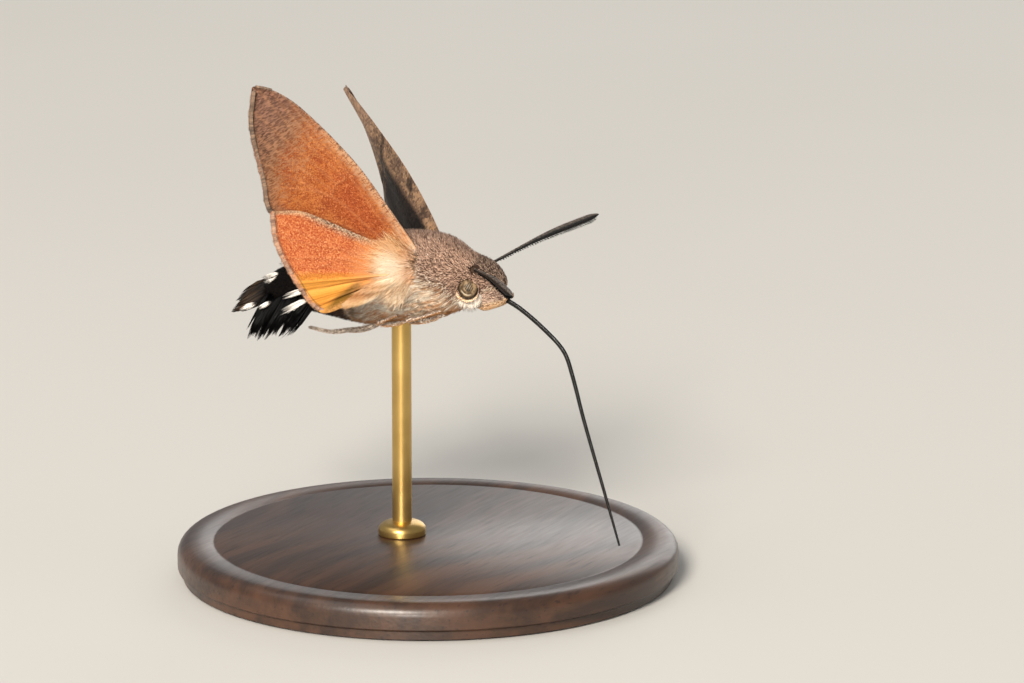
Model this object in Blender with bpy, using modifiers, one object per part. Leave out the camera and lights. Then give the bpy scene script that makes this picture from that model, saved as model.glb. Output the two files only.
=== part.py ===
"""A hummingbird hawk moth, hovering, as a life-size display model on a small stand.

The moth faces +X with its back to +Z, so its right side is at -Y. Shapes are worked out in
millimetres in the moth's own frame, whose origin is the middle of the thorax, and are then
placed over the stand in metres. The part's origin is the middle of the stand's underside.
"""

import math

import bmesh
import bpy
from mathutils import Matrix, Vector
from mathutils.geometry import interpolate_bezier

MM = 0.001
GAP = 0.25  # clearance between neighbouring pieces

# The moth, in millimetres
THORAX_HEIGHT = 27.5
THORAX_FORWARD = -1.5
FOREWING_LENGTH = 22.0
HINDWING_LENGTH = 12.8
WING_THICKNESS = 0.5
FOREWING_CAMBER = 0.45
HINDWING_CAMBER = 0.1
HINDWING_OFFSET = 0.8
EYE_RADII = (0.95, 0.85, 0.95)
EYE_PLACE = (6.5, 1.55, 0.22)
ANTENNA_LENGTH = 11.6
PROBOSCIS_RADIUS = 0.26
LEG_RADIUS = 0.27
TAIL_TWIST = math.radians(19)

# The stand, in millimetres
BASE_RADIUS = 23.0
BASE_THICKNESS = 3.5
BASE_BEVEL = 0.8
ROD_RADIUS = 0.9
ROD_SINK = 2.0
ROD_ENTRY = 1.5
ROD_FORWARD = -1.2
COLLAR_RADIUS = 2.2
COLLAR_HEIGHT = 1.0

# Sections of head, thorax and abdomen: forward, half width, top, bottom
TRUNK = (
    (9.6, 0.1, 0.8, 0.35),
    (9.2, 0.85, 1.4, -0.05),
    (8.4, 1.35, 2.3, -0.35),
    (7.4, 1.7, 2.8, -0.9),
    (6.4, 2.0, 3.05, -1.5),
    (5.6, 2.25, 3.35, -1.9),
    (4.5, 3.0, 3.95, -2.4),
    (3.0, 3.6, 4.45, -2.95),
    (1.2, 3.95, 4.56, -3.4),
    (-1.0, 4.0, 4.4, -3.8),
    (-3.0, 3.8, 3.9, -4.15),
    (-4.8, 3.4, 3.25, -4.25),
    (-8.5, 2.9, 1.9, -3.9),
    (-12.5, 2.4, 0.25, -3.35),
    (-14.2, 1.7, -0.6, -3.0),
    (-15.2, 0.6, -1.3, -2.5),
)
HEAD_CUT = 5.35
WAIST_CUT = -4.9
MIDDLE_CUT = -8.3
REAR_CUT = -11.6

# Wing outlines on each wing's own plane, as shares of its length: along the span, then back
# along the chord
FOREWING_LEAD = ((0, -0.014), (0.22, -0.052), (0.48, -0.086), (0.79, -0.082), (0.92, -0.055), (1, -0.007))
FOREWING_TRAIL = (
    (0, 0.08),
    (0.18, 0.15),
    (0.36, 0.245),
    (0.57, 0.31),
    (0.69, 0.245),
    (0.9, 0.12),
    (1, 0.012),
)
HINDWING_LEAD = ((-0.12, 0.156), (0.215, 0.117), (0.49, 0.21), (0.72, 0.3), (0.86, 0.367), (1, 0.504))
HINDWING_TRAIL = (
    (-0.12, 0.203),
    (0.07, 0.305),
    (0.117, 0.445),
    (0.14, 0.633),
    (0.234, 0.766),
    (0.5, 0.75),
    (0.82, 0.656),
    (1, 0.531),
)

# Each side's wing frame: root, direction of the span, direction of the chord, and how far in
# degrees the chord is turned at the root and at the tip
WING_FRAMES = {
    "right": ((1.9, -2.6, 2.9), (-0.508, -0.451, 0.734), (-0.568, -0.465, -0.679), (0, 0)),
    "left": ((2.05, 2.6, 2.1), (-0.695, 0.425, 0.58), (-0.319, 0.541, -0.778), (-38, 27)),
}

# Antennae: direction from the base, and how far the shaft bows upwards
ANTENNA_BASE = (7.1, 1.35, 1.9)
ANTENNAE = {"right": ((7.98, -8.41, 0.1), 0.3), "left": ((6.86, 8.44, 3.75), 0.3)}
ANTENNA_RADII = ((0.0, 0.25), (0.25, 0.27), (0.75, 0.42), (0.92, 0.38), (1.0, 0.12))

# The proboscis in the moth's middle plane: forward, up
PROBOSCIS = (
    (8.6, -0.45),
    (11.0, -1.55),
    (13.9, -3.6),
    (15.4, -5.1),
    (16.2, -7.1),
    (17.4, -11.2),
    (19.5, -17.7),
    (21.0, -22.4),
)

# Legs folded along the belly: forward, degrees out from the keel, height of the shaft
# above the belly
LEG_ROUTES = {
    "fore": ((3.7, 14, 0.0), (2.2, 20, 0.55), (0.6, 28, 0.6), (2.2, 36, 0.6), (4.1, 42, 0.58)),
    "mid": ((0.2, 17, 0.0), (-1.1, 22, 0.6), (-2.4, 28, 0.6), (-1.2, 38, 0.6), (0.0, 46, 0.58)),
}
# The hind legs trail: forward, out from the middle plane, up
HIND_LEG_START = (-2.7, 13, 0.0)
HIND_LEG_ROUTES = {
    "right": ((-4.2, 1.75, -4.6), (-5.9, 1.8, -4.9), (-7.6, 1.8, -5.2), (-9.85, 1.8, -5.0)),
    "left": ((-4.2, 1.75, -4.55), (-5.9, 1.9, -4.55), (-7.6, 1.9, -4.5), (-9.6, 1.9, -4.4)),
}

# Soft lobes: fraction along, half width, half height
PALP_ROWS = (
    (0, 0.2, 0.3),
    (0.15, 0.45, 0.7),
    (0.38, 0.56, 1.05),
    (0.75, 0.54, 0.85),
    (0.92, 0.42, 0.6),
    (1, 0.1, 0.2),
)
TUFT_ROWS = ((0, 0.5, 0.5), (0.2, 0.88, 0.7), (0.75, 0.88, 0.6), (0.93, 0.65, 0.4), (1, 0.15, 0.1))
TAIL_ROWS = ((0, 1.0, 0.7), (0.35, 2.1, 0.85), (0.7, 3.1, 0.65), (0.92, 2.7, 0.45), (1, 0.7, 0.2))
PALP_ENDS = ((6.2, 0.72, -1.2), (9.9, 0.6, -0.3))
SIDE_TUFTS = 3
SIDE_TUFT_FIRST = (-9.0, 2.1, -0.1)
SIDE_TUFT_STEP = (-2.0, -0.25, 0.0)
SIDE_TUFT_REACH = (-1.5, 4.0, -3.3)
TAIL_ENDS = ((-14.0, 0.0, -1.9), (-18.3, 0.0, -3.7))

# Colours (red, green, blue), roughness and metallic value of each kind of piece
FINISHES = {
    "dorsal_fur": ((0.30, 0.24, 0.20), 0.9, 0.0),
    "pale_fur": ((0.62, 0.50, 0.38), 0.9, 0.0),
    "black_fur": ((0.02, 0.02, 0.025), 0.8, 0.0),
    "eye": ((0.20, 0.16, 0.09), 0.25, 0.0),
    "horn": ((0.04, 0.035, 0.03), 0.4, 0.0),
    "forewing": ((0.42, 0.20, 0.10), 0.85, 0.0),
    "hindwing": ((0.70, 0.25, 0.06), 0.85, 0.0),
    "leg_scales": ((0.45, 0.37, 0.30), 0.8, 0.0),
    "stand_wood": ((0.05, 0.03, 0.02), 0.4, 0.0),
    "stand_brass": ((0.60, 0.45, 0.20), 0.35, 1.0),
}

SIDES = {"right": -1, "left": 1}


def clear_scene():
    for old in list(bpy.data.objects):
        bpy.data.objects.remove(old, do_unlink=True)


def make_collection(name):
    collection = bpy.data.collections.new(name)
    bpy.context.scene.collection.children.link(collection)
    return collection


def make_material(name, finish):
    colour, roughness, metallic = FINISHES[finish]
    material = bpy.data.materials.new(name)
    material.use_nodes = True
    shader = material.node_tree.nodes["Principled BSDF"]
    shader.inputs["Base Color"].default_value = (*colour, 1.0)
    shader.inputs["Roughness"].default_value = roughness
    shader.inputs["Metallic"].default_value = metallic
    return material


def moth_frame():
    """The moth's own millimetres to the part's metres."""
    return Matrix.Scale(MM, 4) @ Matrix.Translation((THORAX_FORWARD, 0.0, THORAX_HEIGHT))


def make_object(name, mesh_data, collection, finish, placed=None):
    """A mesh object from a bmesh in millimetres; placed is the frame it was modelled in."""
    mesh_data.transform(placed or moth_frame())
    mesh = bpy.data.meshes.new(name)
    mesh_data.to_mesh(mesh)
    mesh_data.free()
    mesh.shade_smooth()
    piece = bpy.data.objects.new(name, mesh)
    collection.objects.link(piece)
    if finish:
        mesh.materials.append(make_material(name, finish))
    else:
        piece.hide_render = True
        piece.display_type = "WIRE"
    return piece


def cut(piece, *cutters):
    for cutter in cutters:
        boolean = piece.modifiers.new(cutter.name, "BOOLEAN")
        boolean.operation = "DIFFERENCE"
        boolean.object = cutter


def read_rows(rows, x):
    """The numbers beside x in rows of (x, number, ...), on a smooth curve with no overshoot."""
    rows = sorted(rows)
    x = min(max(x, rows[0][0]), rows[-1][0])
    spot = max(i for i in range(len(rows) - 1) if rows[i][0] <= x)
    span = rows[spot + 1][0] - rows[spot][0]
    t = (x - rows[spot][0]) / span
    values = []
    for column in range(1, len(rows[0])):
        secants = [
            (after[column] - before[column]) / (after[0] - before[0])
            for before, after in zip(rows, rows[1:])
        ]
        slopes = [secants[0]]
        slopes += [2 * a * b / (a + b) if a * b > 0 else 0.0 for a, b in zip(secants, secants[1:])]
        slopes.append(secants[-1])
        start, end = rows[spot][column], rows[spot + 1][column]
        knots = (start, start + slopes[spot] * span / 3, end - slopes[spot + 1] * span / 3, end)
        weights = ((1 - t) ** 3, 3 * t * (1 - t) ** 2, 3 * t * t * (1 - t), t ** 3)
        values.append(sum(knot * weight for knot, weight in zip(knots, weights)))
    return values


def smooth_route(points, count):
    """Evenly spaced points along a smooth curve through the given ones."""
    points = [Vector(point) for point in points]
    before = [2 * points[0] - points[1]] + points
    after = points + [2 * points[-1] - points[-2]]
    tangents = [(after[i + 1] - before[i]) / 2 for i in range(len(points))]
    fine = []
    for i, (start, end) in enumerate(zip(points, points[1:])):
        reach = (end - start).length / 3
        pull_out = tangents[i].normalized() * reach
        pull_in = tangents[i + 1].normalized() * reach
        fine += interpolate_bezier(start, start + pull_out, end - pull_in, end, 24)[:-1]
    fine.append(points[-1])
    lengths = [0.0]
    for start, end in zip(fine, fine[1:]):
        lengths.append(lengths[-1] + (end - start).length)
    route = []
    spot = 0
    for i in range(count):
        wanted = lengths[-1] * i / (count - 1)
        while spot < len(fine) - 2 and lengths[spot + 1] < wanted:
            spot += 1
        share = (wanted - lengths[spot]) / (lengths[spot + 1] - lengths[spot])
        route.append(fine[spot].lerp(fine[spot + 1], min(max(share, 0.0), 1.0)))
    return route


def tail_turn(x):
    """How far the trunk is rolled at a section: nothing ahead of the waist, most at the tail."""
    share = min(max((WAIST_CUT - x) / (WAIST_CUT - TRUNK[-1][0]), 0.0), 1.0)
    return TAIL_TWIST * share


def trunk_point(x, angle, lift=0.0):
    """A point on the trunk's skin; angle runs from +Y over the back, lift grows the section."""
    half_width, top, bottom = read_rows(TRUNK, x)
    turn = tail_turn(x)
    across = (half_width + lift) * math.cos(angle)
    up = ((top - bottom) / 2 + lift) * math.sin(angle)
    return Vector((
        x,
        across * math.cos(turn) - up * math.sin(turn),
        (top + bottom) / 2 + across * math.sin(turn) + up * math.cos(turn),
    ))


def rings(around, along):
    """A unit ball with its poles on Z, to be mapped onto a longer shape."""
    ball = bmesh.new()
    bmesh.ops.create_uvsphere(ball, u_segments=around, v_segments=along, radius=1.0)
    return ball


def trunk_shape(lift=0.0):
    """Head, thorax and abdomen as one closed skin, grown by lift."""
    front, rear = TRUNK[0][0], TRUNK[-1][0]
    shape = rings(24, 38)
    for vertex in shape.verts:
        share = (1 + vertex.co.z) / 2
        x = rear + (front - rear) * share
        if math.hypot(vertex.co.x, vertex.co.y) < 1e-4:
            top, bottom = read_rows(TRUNK, x)[1:]
            place = Vector((x, 0.0, (top + bottom) / 2))
        else:
            place = trunk_point(x, math.atan2(vertex.co.y, vertex.co.x), lift)
        place.x += lift * vertex.co.z
        vertex.co = place
    return shape


def keep_between(shape, rear, front):
    """Keeps the slice of a shape from rear to front, with half a gap off each cut end."""
    for x, side in ((front - GAP / 2, 1), (rear + GAP / 2, -1)):
        bmesh.ops.bisect_plane(
            shape,
            geom=shape.verts[:] + shape.edges[:] + shape.faces[:],
            plane_co=(x, 0, 0),
            plane_no=(side, 0, 0),
            clear_outer=True,
        )
        bmesh.ops.holes_fill(shape, edges=[edge for edge in shape.edges if edge.is_boundary])


def ball_shape(centre, radii, around=16, along=10):
    shape = rings(around, along)
    bmesh.ops.scale(shape, vec=radii, verts=shape.verts)
    bmesh.ops.translate(shape, vec=centre, verts=shape.verts)
    return shape


def lobe_shape(start, end, across, rows, around=10, along=9):
    """A soft lobe from start to end whose half width and half height follow rows."""
    start, end = Vector(start), Vector(end)
    forward = (end - start).normalized()
    across = (Vector(across) - forward * forward.dot(Vector(across))).normalized()
    up = forward.cross(across)
    shape = rings(around, along)
    for vertex in shape.verts:
        share = (1 + vertex.co.z) / 2
        half_width, half_height = read_rows(rows, share)
        ring = Vector((vertex.co.x, vertex.co.y))
        if ring.length > 1e-4:
            ring.normalize()
        reach = across * ring.x * half_width + up * ring.y * half_height
        vertex.co = start.lerp(end, share) + reach
    return shape


def tube_object(name, route, radii, collection, finish):
    """A tapering tube along a route, made a mesh so that it can be cut."""
    curve = bpy.data.curves.new(name, "CURVE")
    curve.dimensions = "3D"
    curve.bevel_depth = MM
    curve.bevel_resolution = 2
    curve.use_fill_caps = True
    spline = curve.splines.new("POLY")
    spline.points.add(len(route) - 1)
    for point, place, radius in zip(spline.points, route, radii):
        point.co = (*(moth_frame() @ place), 1.0)
        point.radius = radius
    guide = bpy.data.objects.new(name + "_curve", curve)
    collection.objects.link(guide)
    evaluated = guide.evaluated_get(bpy.context.evaluated_depsgraph_get())
    mesh = bpy.data.meshes.new_from_object(evaluated)
    welded = bmesh.new()
    welded.from_mesh(mesh)
    bmesh.ops.remove_doubles(welded, verts=welded.verts, dist=1e-6)
    bmesh.ops.recalc_face_normals(welded, faces=welded.faces)
    bpy.data.objects.remove(guide)
    bpy.data.curves.remove(curve)
    return make_object(name, welded, collection, finish, Matrix.Identity(4))


def wing_shape(side, length, lead, trail, offset, camber, rows, columns):
    """An open cambered sheet between a leading and a trailing edge."""
    root, span, chord = (Vector(part) for part in WING_FRAMES[side][:3])
    root_turn, tip_turn = (math.radians(turn) for turn in WING_FRAMES[side][3])
    underside = span.cross(chord) if side == "right" else chord.cross(span)
    lead_route = smooth_route([Vector((*point, 0)) * length for point in lead], rows + 1)
    trail_route = smooth_route([Vector((*point, 0)) * length for point in trail], rows + 1)
    sheet = bmesh.new()
    bmesh.ops.create_grid(sheet, x_segments=rows, y_segments=columns, size=1.0)
    for vertex in sheet.verts:
        row = round((vertex.co.x + 1) / 2 * rows)
        share = (vertex.co.y + 1) / 2
        flat = lead_route[row].lerp(trail_route[row], share)
        rise = offset - camber * math.sin(math.pi * share)
        turn = root_turn + (tip_turn - root_turn) * flat.x / FOREWING_LENGTH
        back = chord * math.cos(turn) + underside * math.sin(turn)
        under = underside * math.cos(turn) - chord * math.sin(turn)
        vertex.co = root + span * flat.x + back * flat.y + under * rise
    return sheet


def build_trunk(parts):
    """Head, thorax and three lengths of abdomen, parted by thin cuts across one skin."""
    front, rear = TRUNK[0][0] + 1, TRUNK[-1][0] - 1
    slices = {
        "head": (HEAD_CUT, front, "dorsal_fur"),
        "thorax": (WAIST_CUT, HEAD_CUT, "dorsal_fur"),
        "abdomen_base": (MIDDLE_CUT, WAIST_CUT, "pale_fur"),
        "abdomen_middle": (REAR_CUT, MIDDLE_CUT, "black_fur"),
        "abdomen_rear": (rear, REAR_CUT, "black_fur"),
    }
    pieces = {}
    for name, (start, end, finish) in slices.items():
        shape = trunk_shape()
        keep_between(shape, start, end)
        pieces[name] = make_object(name, shape, parts, finish)
    return pieces


def build_eyes(parts, cutters, head):
    """Half-sunk eyes in sockets a little larger than they are."""
    forward, out, up = EYE_PLACE
    for side, sign in SIDES.items():
        centre = (forward, sign * out, up)
        make_object(f"eye_{side}", ball_shape(centre, EYE_RADII), parts, "eye")
        grown = [radius + GAP for radius in EYE_RADII]
        cut(head, make_object(f"socket_{side}", ball_shape(centre, grown), cutters, None))


def build_proboscis(parts, cutters, head):
    """A tube sunk in the front of the face, held clear of the head and the palps."""
    route = smooth_route([(x, 0, z) for x, z in PROBOSCIS], 26)
    radii = [PROBOSCIS_RADIUS] * len(route)
    tube_object("proboscis", route, radii, parts, "horn")
    grown = [PROBOSCIS_RADIUS + GAP] * len(route)
    start = [route[0] - (route[1] - route[0]).normalized() * GAP]
    channel = tube_object("proboscis_channel", start + route[1:], grown, cutters, None)
    cut(head, channel)
    return channel


def build_palps(parts, trunk_cutter, channel):
    """A pair of blunt scaled lobes under and ahead of the face."""
    (x0, y0, z0), (x1, y1, z1) = PALP_ENDS
    for side, sign in SIDES.items():
        shape = lobe_shape((x0, sign * y0, z0), (x1, sign * y1, z1), (0, 1, 0), PALP_ROWS, 12, 12)
        cut(make_object(f"palp_{side}", shape, parts, "dorsal_fur"), trunk_cutter, channel)


def build_antennae(parts, trunk_cutter):
    x, y, z = ANTENNA_BASE
    for side, sign in SIDES.items():
        direction, bow = ANTENNAE[side]
        base = Vector((x, sign * y, z))
        reach = Vector(direction).normalized() * ANTENNA_LENGTH
        middle = base + reach / 2 + Vector((0, 0, bow))
        route = smooth_route((base, middle, base + reach), 14)
        radii = [read_rows(ANTENNA_RADII, i / (len(route) - 1))[0] for i in range(len(route))]
        cut(tube_object(f"antenna_{side}", route, radii, parts, "horn"), trunk_cutter)


def build_wings(parts, trunk_cutter):
    """Fore and hind wings as thin cambered sheets; the hind wing lies under the fore wing."""
    wings = {
        "forewing": (FOREWING_LENGTH, FOREWING_LEAD, FOREWING_TRAIL, 0.0, FOREWING_CAMBER, 20, 5),
        "hindwing": (
            HINDWING_LENGTH, HINDWING_LEAD, HINDWING_TRAIL, HINDWING_OFFSET, HINDWING_CAMBER, 14, 6
        ),
    }
    for name, design in wings.items():
        for side in SIDES:
            sheet = wing_shape(side, *design)
            wing = make_object(f"{name}_{side}", sheet, parts, name)
            solidify = wing.modifiers.new("thickness", "SOLIDIFY")
            solidify.thickness = WING_THICKNESS * MM
            solidify.offset = 0.0
            cut(wing, trunk_cutter)


def belly_point(x, degrees, lift, sign):
    return trunk_point(x, -math.pi / 2 + sign * math.radians(degrees), lift)


def build_legs(parts, trunk_cutter):
    """Fore and mid legs folded on the belly, hind legs trailing under the abdomen."""
    for side, sign in SIDES.items():
        routes = {
            name: [belly_point(*point, sign) for point in route]
            for name, route in LEG_ROUTES.items()
        }
        trailing = [(x, sign * y, z) for x, y, z in HIND_LEG_ROUTES[side]]
        routes["hind"] = [belly_point(*HIND_LEG_START, sign)] + trailing
        for name, points in routes.items():
            route = smooth_route(points, 12)
            radii = [LEG_RADIUS] * len(route)
            leg = tube_object(f"{name}_leg_{side}", route, radii, parts, "leg_scales")
            cut(leg, trunk_cutter)


def rolled(point, x):
    """A point beside the abdomen's axis at section x, turned with the abdomen."""
    top, bottom = read_rows(TRUNK, x)[1:]
    turn = Matrix.Rotation(tail_turn(x), 3, "X")
    axis = Vector((0, 0, (top + bottom) / 2))
    return turn @ Vector(point) + axis


def build_tail(parts, trunk_cutter):
    """The flat fan at the tip of the abdomen and the flared tufts along its sides."""
    across = Matrix.Rotation(TAIL_TWIST, 3, "X") @ Vector((0, 1, 0))
    fan = lobe_shape(*TAIL_ENDS, across, TAIL_ROWS, 16, 12)
    cut(make_object("tail_fan", fan, parts, "black_fur"), trunk_cutter)
    for side, sign in SIDES.items():
        for number in range(SIDE_TUFTS):
            x, y, z = Vector(SIDE_TUFT_FIRST) + Vector(SIDE_TUFT_STEP) * number
            reach = Vector(SIDE_TUFT_REACH)
            root = rolled((x, sign * y, z), x)
            tip = rolled((x + reach.x, sign * (y + reach.y), z + reach.z), x)
            shape = lobe_shape(root, tip, (1, 0, 0), TUFT_ROWS)
            tuft = make_object(f"side_tuft_{side}_{number + 1}", shape, parts, "black_fur")
            cut(tuft, trunk_cutter)


def rod_cutter(name, cutters, x, bottom, top):
    """A round blind hole for the rod, between two heights in the part's frame."""
    shape = bmesh.new()
    radius = ROD_RADIUS + GAP
    bmesh.ops.create_cone(
        shape, cap_ends=True, segments=24, radius1=radius, radius2=radius, depth=top - bottom
    )
    bmesh.ops.translate(shape, vec=(x, 0, (top + bottom) / 2), verts=shape.verts)
    return make_object(name, shape, cutters, None, Matrix.Scale(MM, 4))


def build_stand(parts, cutters, thorax):
    """A round base and a turned rod with a collar, let into the base and into the thorax."""
    x = THORAX_FORWARD + ROD_FORWARD
    belly = THORAX_HEIGHT + read_rows(TRUNK, ROD_FORWARD)[2]
    rod_top = belly + ROD_ENTRY
    rod_bottom = BASE_THICKNESS - ROD_SINK
    shape = bmesh.new()
    bmesh.ops.create_cone(
        shape,
        cap_ends=True,
        segments=48,
        radius1=BASE_RADIUS,
        radius2=BASE_RADIUS,
        depth=BASE_THICKNESS,
    )
    bmesh.ops.translate(shape, vec=(0, 0, BASE_THICKNESS / 2), verts=shape.verts)
    rim = [edge for edge in shape.edges if all(v.co.z > BASE_THICKNESS / 2 for v in edge.verts)]
    bmesh.ops.bevel(shape, geom=rim, offset=BASE_BEVEL, segments=3, profile=0.5, affect="EDGES")
    base = make_object("stand_base", shape, parts, "stand_wood", Matrix.Scale(MM, 4))
    base.data.set_sharp_from_angle(angle=math.radians(40))
    cut(base, rod_cutter("base_hole", cutters, x, rod_bottom - GAP, BASE_THICKNESS + 1))
    cut(thorax, rod_cutter("thorax_hole", cutters, x, belly - 2, rod_top + GAP))

    collar_bottom = BASE_THICKNESS + GAP
    outline = (
        (0, rod_top),
        (ROD_RADIUS, rod_top),
        (ROD_RADIUS, collar_bottom + COLLAR_HEIGHT),
        (COLLAR_RADIUS, collar_bottom + COLLAR_HEIGHT / 2),
        (COLLAR_RADIUS, collar_bottom),
        (ROD_RADIUS, collar_bottom),
        (ROD_RADIUS, rod_bottom),
        (0, rod_bottom),
    )
    profile = bmesh.new()
    corners = [profile.verts.new((radius, 0, height)) for radius, height in outline]
    for start, end in zip(corners, corners[1:]):
        profile.edges.new((start, end))
    rod = make_object("stand_rod", profile, parts, "stand_brass", Matrix.Scale(MM, 4))
    rod.location.x = x * MM
    screw = rod.modifiers.new("turned", "SCREW")
    screw.steps = 24
    screw.render_steps = 24
    screw.use_merge_vertices = True
    screw.merge_threshold = 1e-6


def main():
    clear_scene()
    parts = make_collection("hummingbird_hawk_moth")
    cutters = make_collection("cutters")
    trunk_cutter = make_object("trunk_clearance", trunk_shape(GAP), cutters, None)
    trunk = build_trunk(parts)
    build_eyes(parts, cutters, trunk["head"])
    channel = build_proboscis(parts, cutters, trunk["head"])
    build_palps(parts, trunk_cutter, channel)
    build_antennae(parts, trunk_cutter)
    build_wings(parts, trunk_cutter)
    build_legs(parts, trunk_cutter)
    build_tail(parts, trunk_cutter)
    build_stand(parts, cutters, trunk["thorax"])


main()
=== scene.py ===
# %% [markdown]
# A hummingbird hawk moth, hovering, on a small display stand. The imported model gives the
# frame: every piece below is built in metres in that frame and stands for one or more of its
# nodes. Its sizes are kept, so that the looks can't drift away from the solids.

# %% Load the frame
import math

import bmesh
import bpy
import numpy as np
from mathutils import Matrix, Vector
from mathutils.kdtree import KDTree


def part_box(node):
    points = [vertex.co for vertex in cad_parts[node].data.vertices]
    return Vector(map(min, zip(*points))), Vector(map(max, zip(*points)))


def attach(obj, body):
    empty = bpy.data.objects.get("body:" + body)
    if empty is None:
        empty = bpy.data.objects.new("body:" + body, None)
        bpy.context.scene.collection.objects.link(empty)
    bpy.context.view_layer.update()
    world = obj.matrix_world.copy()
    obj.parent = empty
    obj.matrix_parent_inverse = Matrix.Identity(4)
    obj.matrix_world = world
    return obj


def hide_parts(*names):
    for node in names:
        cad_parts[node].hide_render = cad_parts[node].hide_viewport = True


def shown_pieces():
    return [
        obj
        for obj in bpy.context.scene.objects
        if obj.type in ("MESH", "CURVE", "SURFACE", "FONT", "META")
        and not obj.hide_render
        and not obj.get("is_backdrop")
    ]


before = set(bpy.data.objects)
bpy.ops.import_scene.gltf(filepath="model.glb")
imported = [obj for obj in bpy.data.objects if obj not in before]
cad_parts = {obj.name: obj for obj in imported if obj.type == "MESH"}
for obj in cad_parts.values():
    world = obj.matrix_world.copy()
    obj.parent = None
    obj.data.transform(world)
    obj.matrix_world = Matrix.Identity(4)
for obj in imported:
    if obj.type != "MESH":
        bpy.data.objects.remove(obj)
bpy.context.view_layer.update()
SIDES = {"right": -1, "left": 1}
print("nodes:", len(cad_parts))

# %% [markdown]
# The moth is drawn in millimetres about the middle of its thorax, with X forward, Y to its left
# and Z up. It hangs over the stand, so one shift and one scale take it to the frame.

# %% From the moth's millimetres to the frame's metres
MM = 0.001
THORAX = np.array((-1.5, 0.0, 27.5))
TO_FRAME = Matrix.Scale(MM, 4) @ Matrix.Translation(Vector(THORAX))


def to_frame(points):
    return (np.asarray(points, float) + THORAX) * MM


def unit(vectors):
    vectors = np.asarray(vectors, float)
    return vectors / np.maximum(np.linalg.norm(vectors, axis=-1, keepdims=True), 1e-9)


def heading(angle):
    """Unit vectors on a plane, at angles in radians from its first axis."""
    return np.stack([np.cos(angle), np.sin(angle)], axis=-1)


def read_route(place, steps, route):
    """Points between those of a route, where steps says how far along it each of those lies."""
    return np.stack([np.interp(place, steps, column) for column in np.transpose(route)], axis=-1)


def rgb(code):
    """A colour written as six hexadecimal digits, as a linear colour with alpha."""
    parts = [int(code[i:i + 2], 16) / 255 for i in (0, 2, 4)]
    return (*[p / 12.92 if p <= 0.04045 else ((p + 0.055) / 1.055) ** 2.4 for p in parts], 1.0)


def as_mesh(name, shape):
    """The finished shape as a mesh."""
    mesh = bpy.data.meshes.new(name)
    shape.to_mesh(mesh)
    shape.free()
    return mesh


def vertex_places(mesh):
    places = np.zeros(len(mesh.vertices) * 3)
    mesh.vertices.foreach_get("co", places)
    return places.reshape(-1, 3)


def keep_values(mesh, name, values):
    """Keeps a vector or a number at each point of a mesh, for its finish to read."""
    values = np.asarray(values, np.float32)
    kind, field = ("FLOAT_VECTOR", "vector") if values.ndim == 2 else ("FLOAT", "value")
    mesh.attributes.new(name, kind, "POINT").data.foreach_set(field, values.ravel())


def finish_piece(name, mesh, finishes, nodes):
    """Makes the object, rides it on the body, and hides the nodes it stands for."""
    mesh.shade_smooth()
    for finish in finishes:
        mesh.materials.append(finish)
    piece = bpy.data.objects.new(name, mesh)
    bpy.context.scene.collection.objects.link(piece)
    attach(piece, "root")
    if nodes:
        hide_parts(*nodes)
    print(name, len(mesh.polygons), "faces")
    return piece


# %% [markdown]
# A finish is a small network of nodes. Writing it node by node hides the idea, so one class
# wraps a socket: sums on it add Math nodes, and any other node comes from one method.

# %% A socket that can be calculated with
class Wire:
    """A socket of a material; sums on it add Math nodes."""

    def __init__(self, tree, socket=None):
        self.tree = tree
        self.socket = socket

    def node(self, kind, settings, values, output=0):
        """Adds a node: its settings first, then the values or links of its sockets."""
        made = self.tree.nodes.new("ShaderNode" + kind)
        for name, value in settings.items():
            setattr(made, name, value)
        for key, value in values.items():
            if isinstance(value, Wire):
                self.tree.links.new(value.socket, made.inputs[key])
            else:
                made.inputs[key].default_value = value
        return Wire(self.tree, made.outputs[output])

    def out(self, number):
        """Another output of the same node."""
        return Wire(self.tree, self.socket.node.outputs[number])

    def math(self, operation, *values):
        return self.node("Math", {"operation": operation}, dict(enumerate(values)))

    def __add__(self, other):
        return self.math("ADD", self, other)

    def __sub__(self, other):
        return self.math("SUBTRACT", self, other)

    def __rsub__(self, other):
        return self.math("SUBTRACT", other, self)

    def __mul__(self, other):
        return self.math("MULTIPLY", self, other)

    def __truediv__(self, other):
        return self.math("DIVIDE", self, other)

    __radd__ = __add__
    __rmul__ = __mul__


# %% Nodes that every finish uses
def attribute(wire, name, output=1):
    """A vector kept at each point of the mesh."""
    return wire.node("Attribute", {"attribute_name": name}, {}, output)


def kept_number(wire, name):
    """A number kept at each point of the mesh."""
    return attribute(wire, name, 2)


def hair_numbers(wire):
    """A hair's tint, and how far along it a point lies."""
    return kept_number(wire, "tint"), kept_number(wire, "along")


def own_place(wire):
    """Where a point lies in the frame, in metres."""
    return wire.node("TexCoord", {}, {}, 3)


def split(vector):
    x = vector.node("SeparateXYZ", {}, {0: vector})
    return x, x.out(1), x.out(2)


def join(wire, x, y, z=0.0):
    return wire.node("CombineXYZ", {}, {0: x, 1: y, 2: z})


def mix(mask, low, high):
    """The low colour where the mask is 0, the high one where it is 1; a string is a code."""
    low, high = (rgb(colour) if isinstance(colour, str) else colour for colour in (low, high))
    return mask.node("Mix", {"data_type": "RGBA"}, {0: mask, 6: low, 7: high}, 2)


def between(value, low, high):
    """0 below low, 1 above high, and a soft step from one to the other."""
    ends = {"Value": value, "From Min": low, "From Max": high}
    if low > high:
        ends.update({"From Min": high, "From Max": low, "To Min": 1.0, "To Max": 0.0})
    return value.node("MapRange", {"interpolation_type": "SMOOTHSTEP"}, ends)


def band(value, low, high, soft):
    """1 between low and high, fading over soft on both sides."""
    return between(value, low - soft, low + soft) * between(value, high + soft, high - soft)


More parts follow.
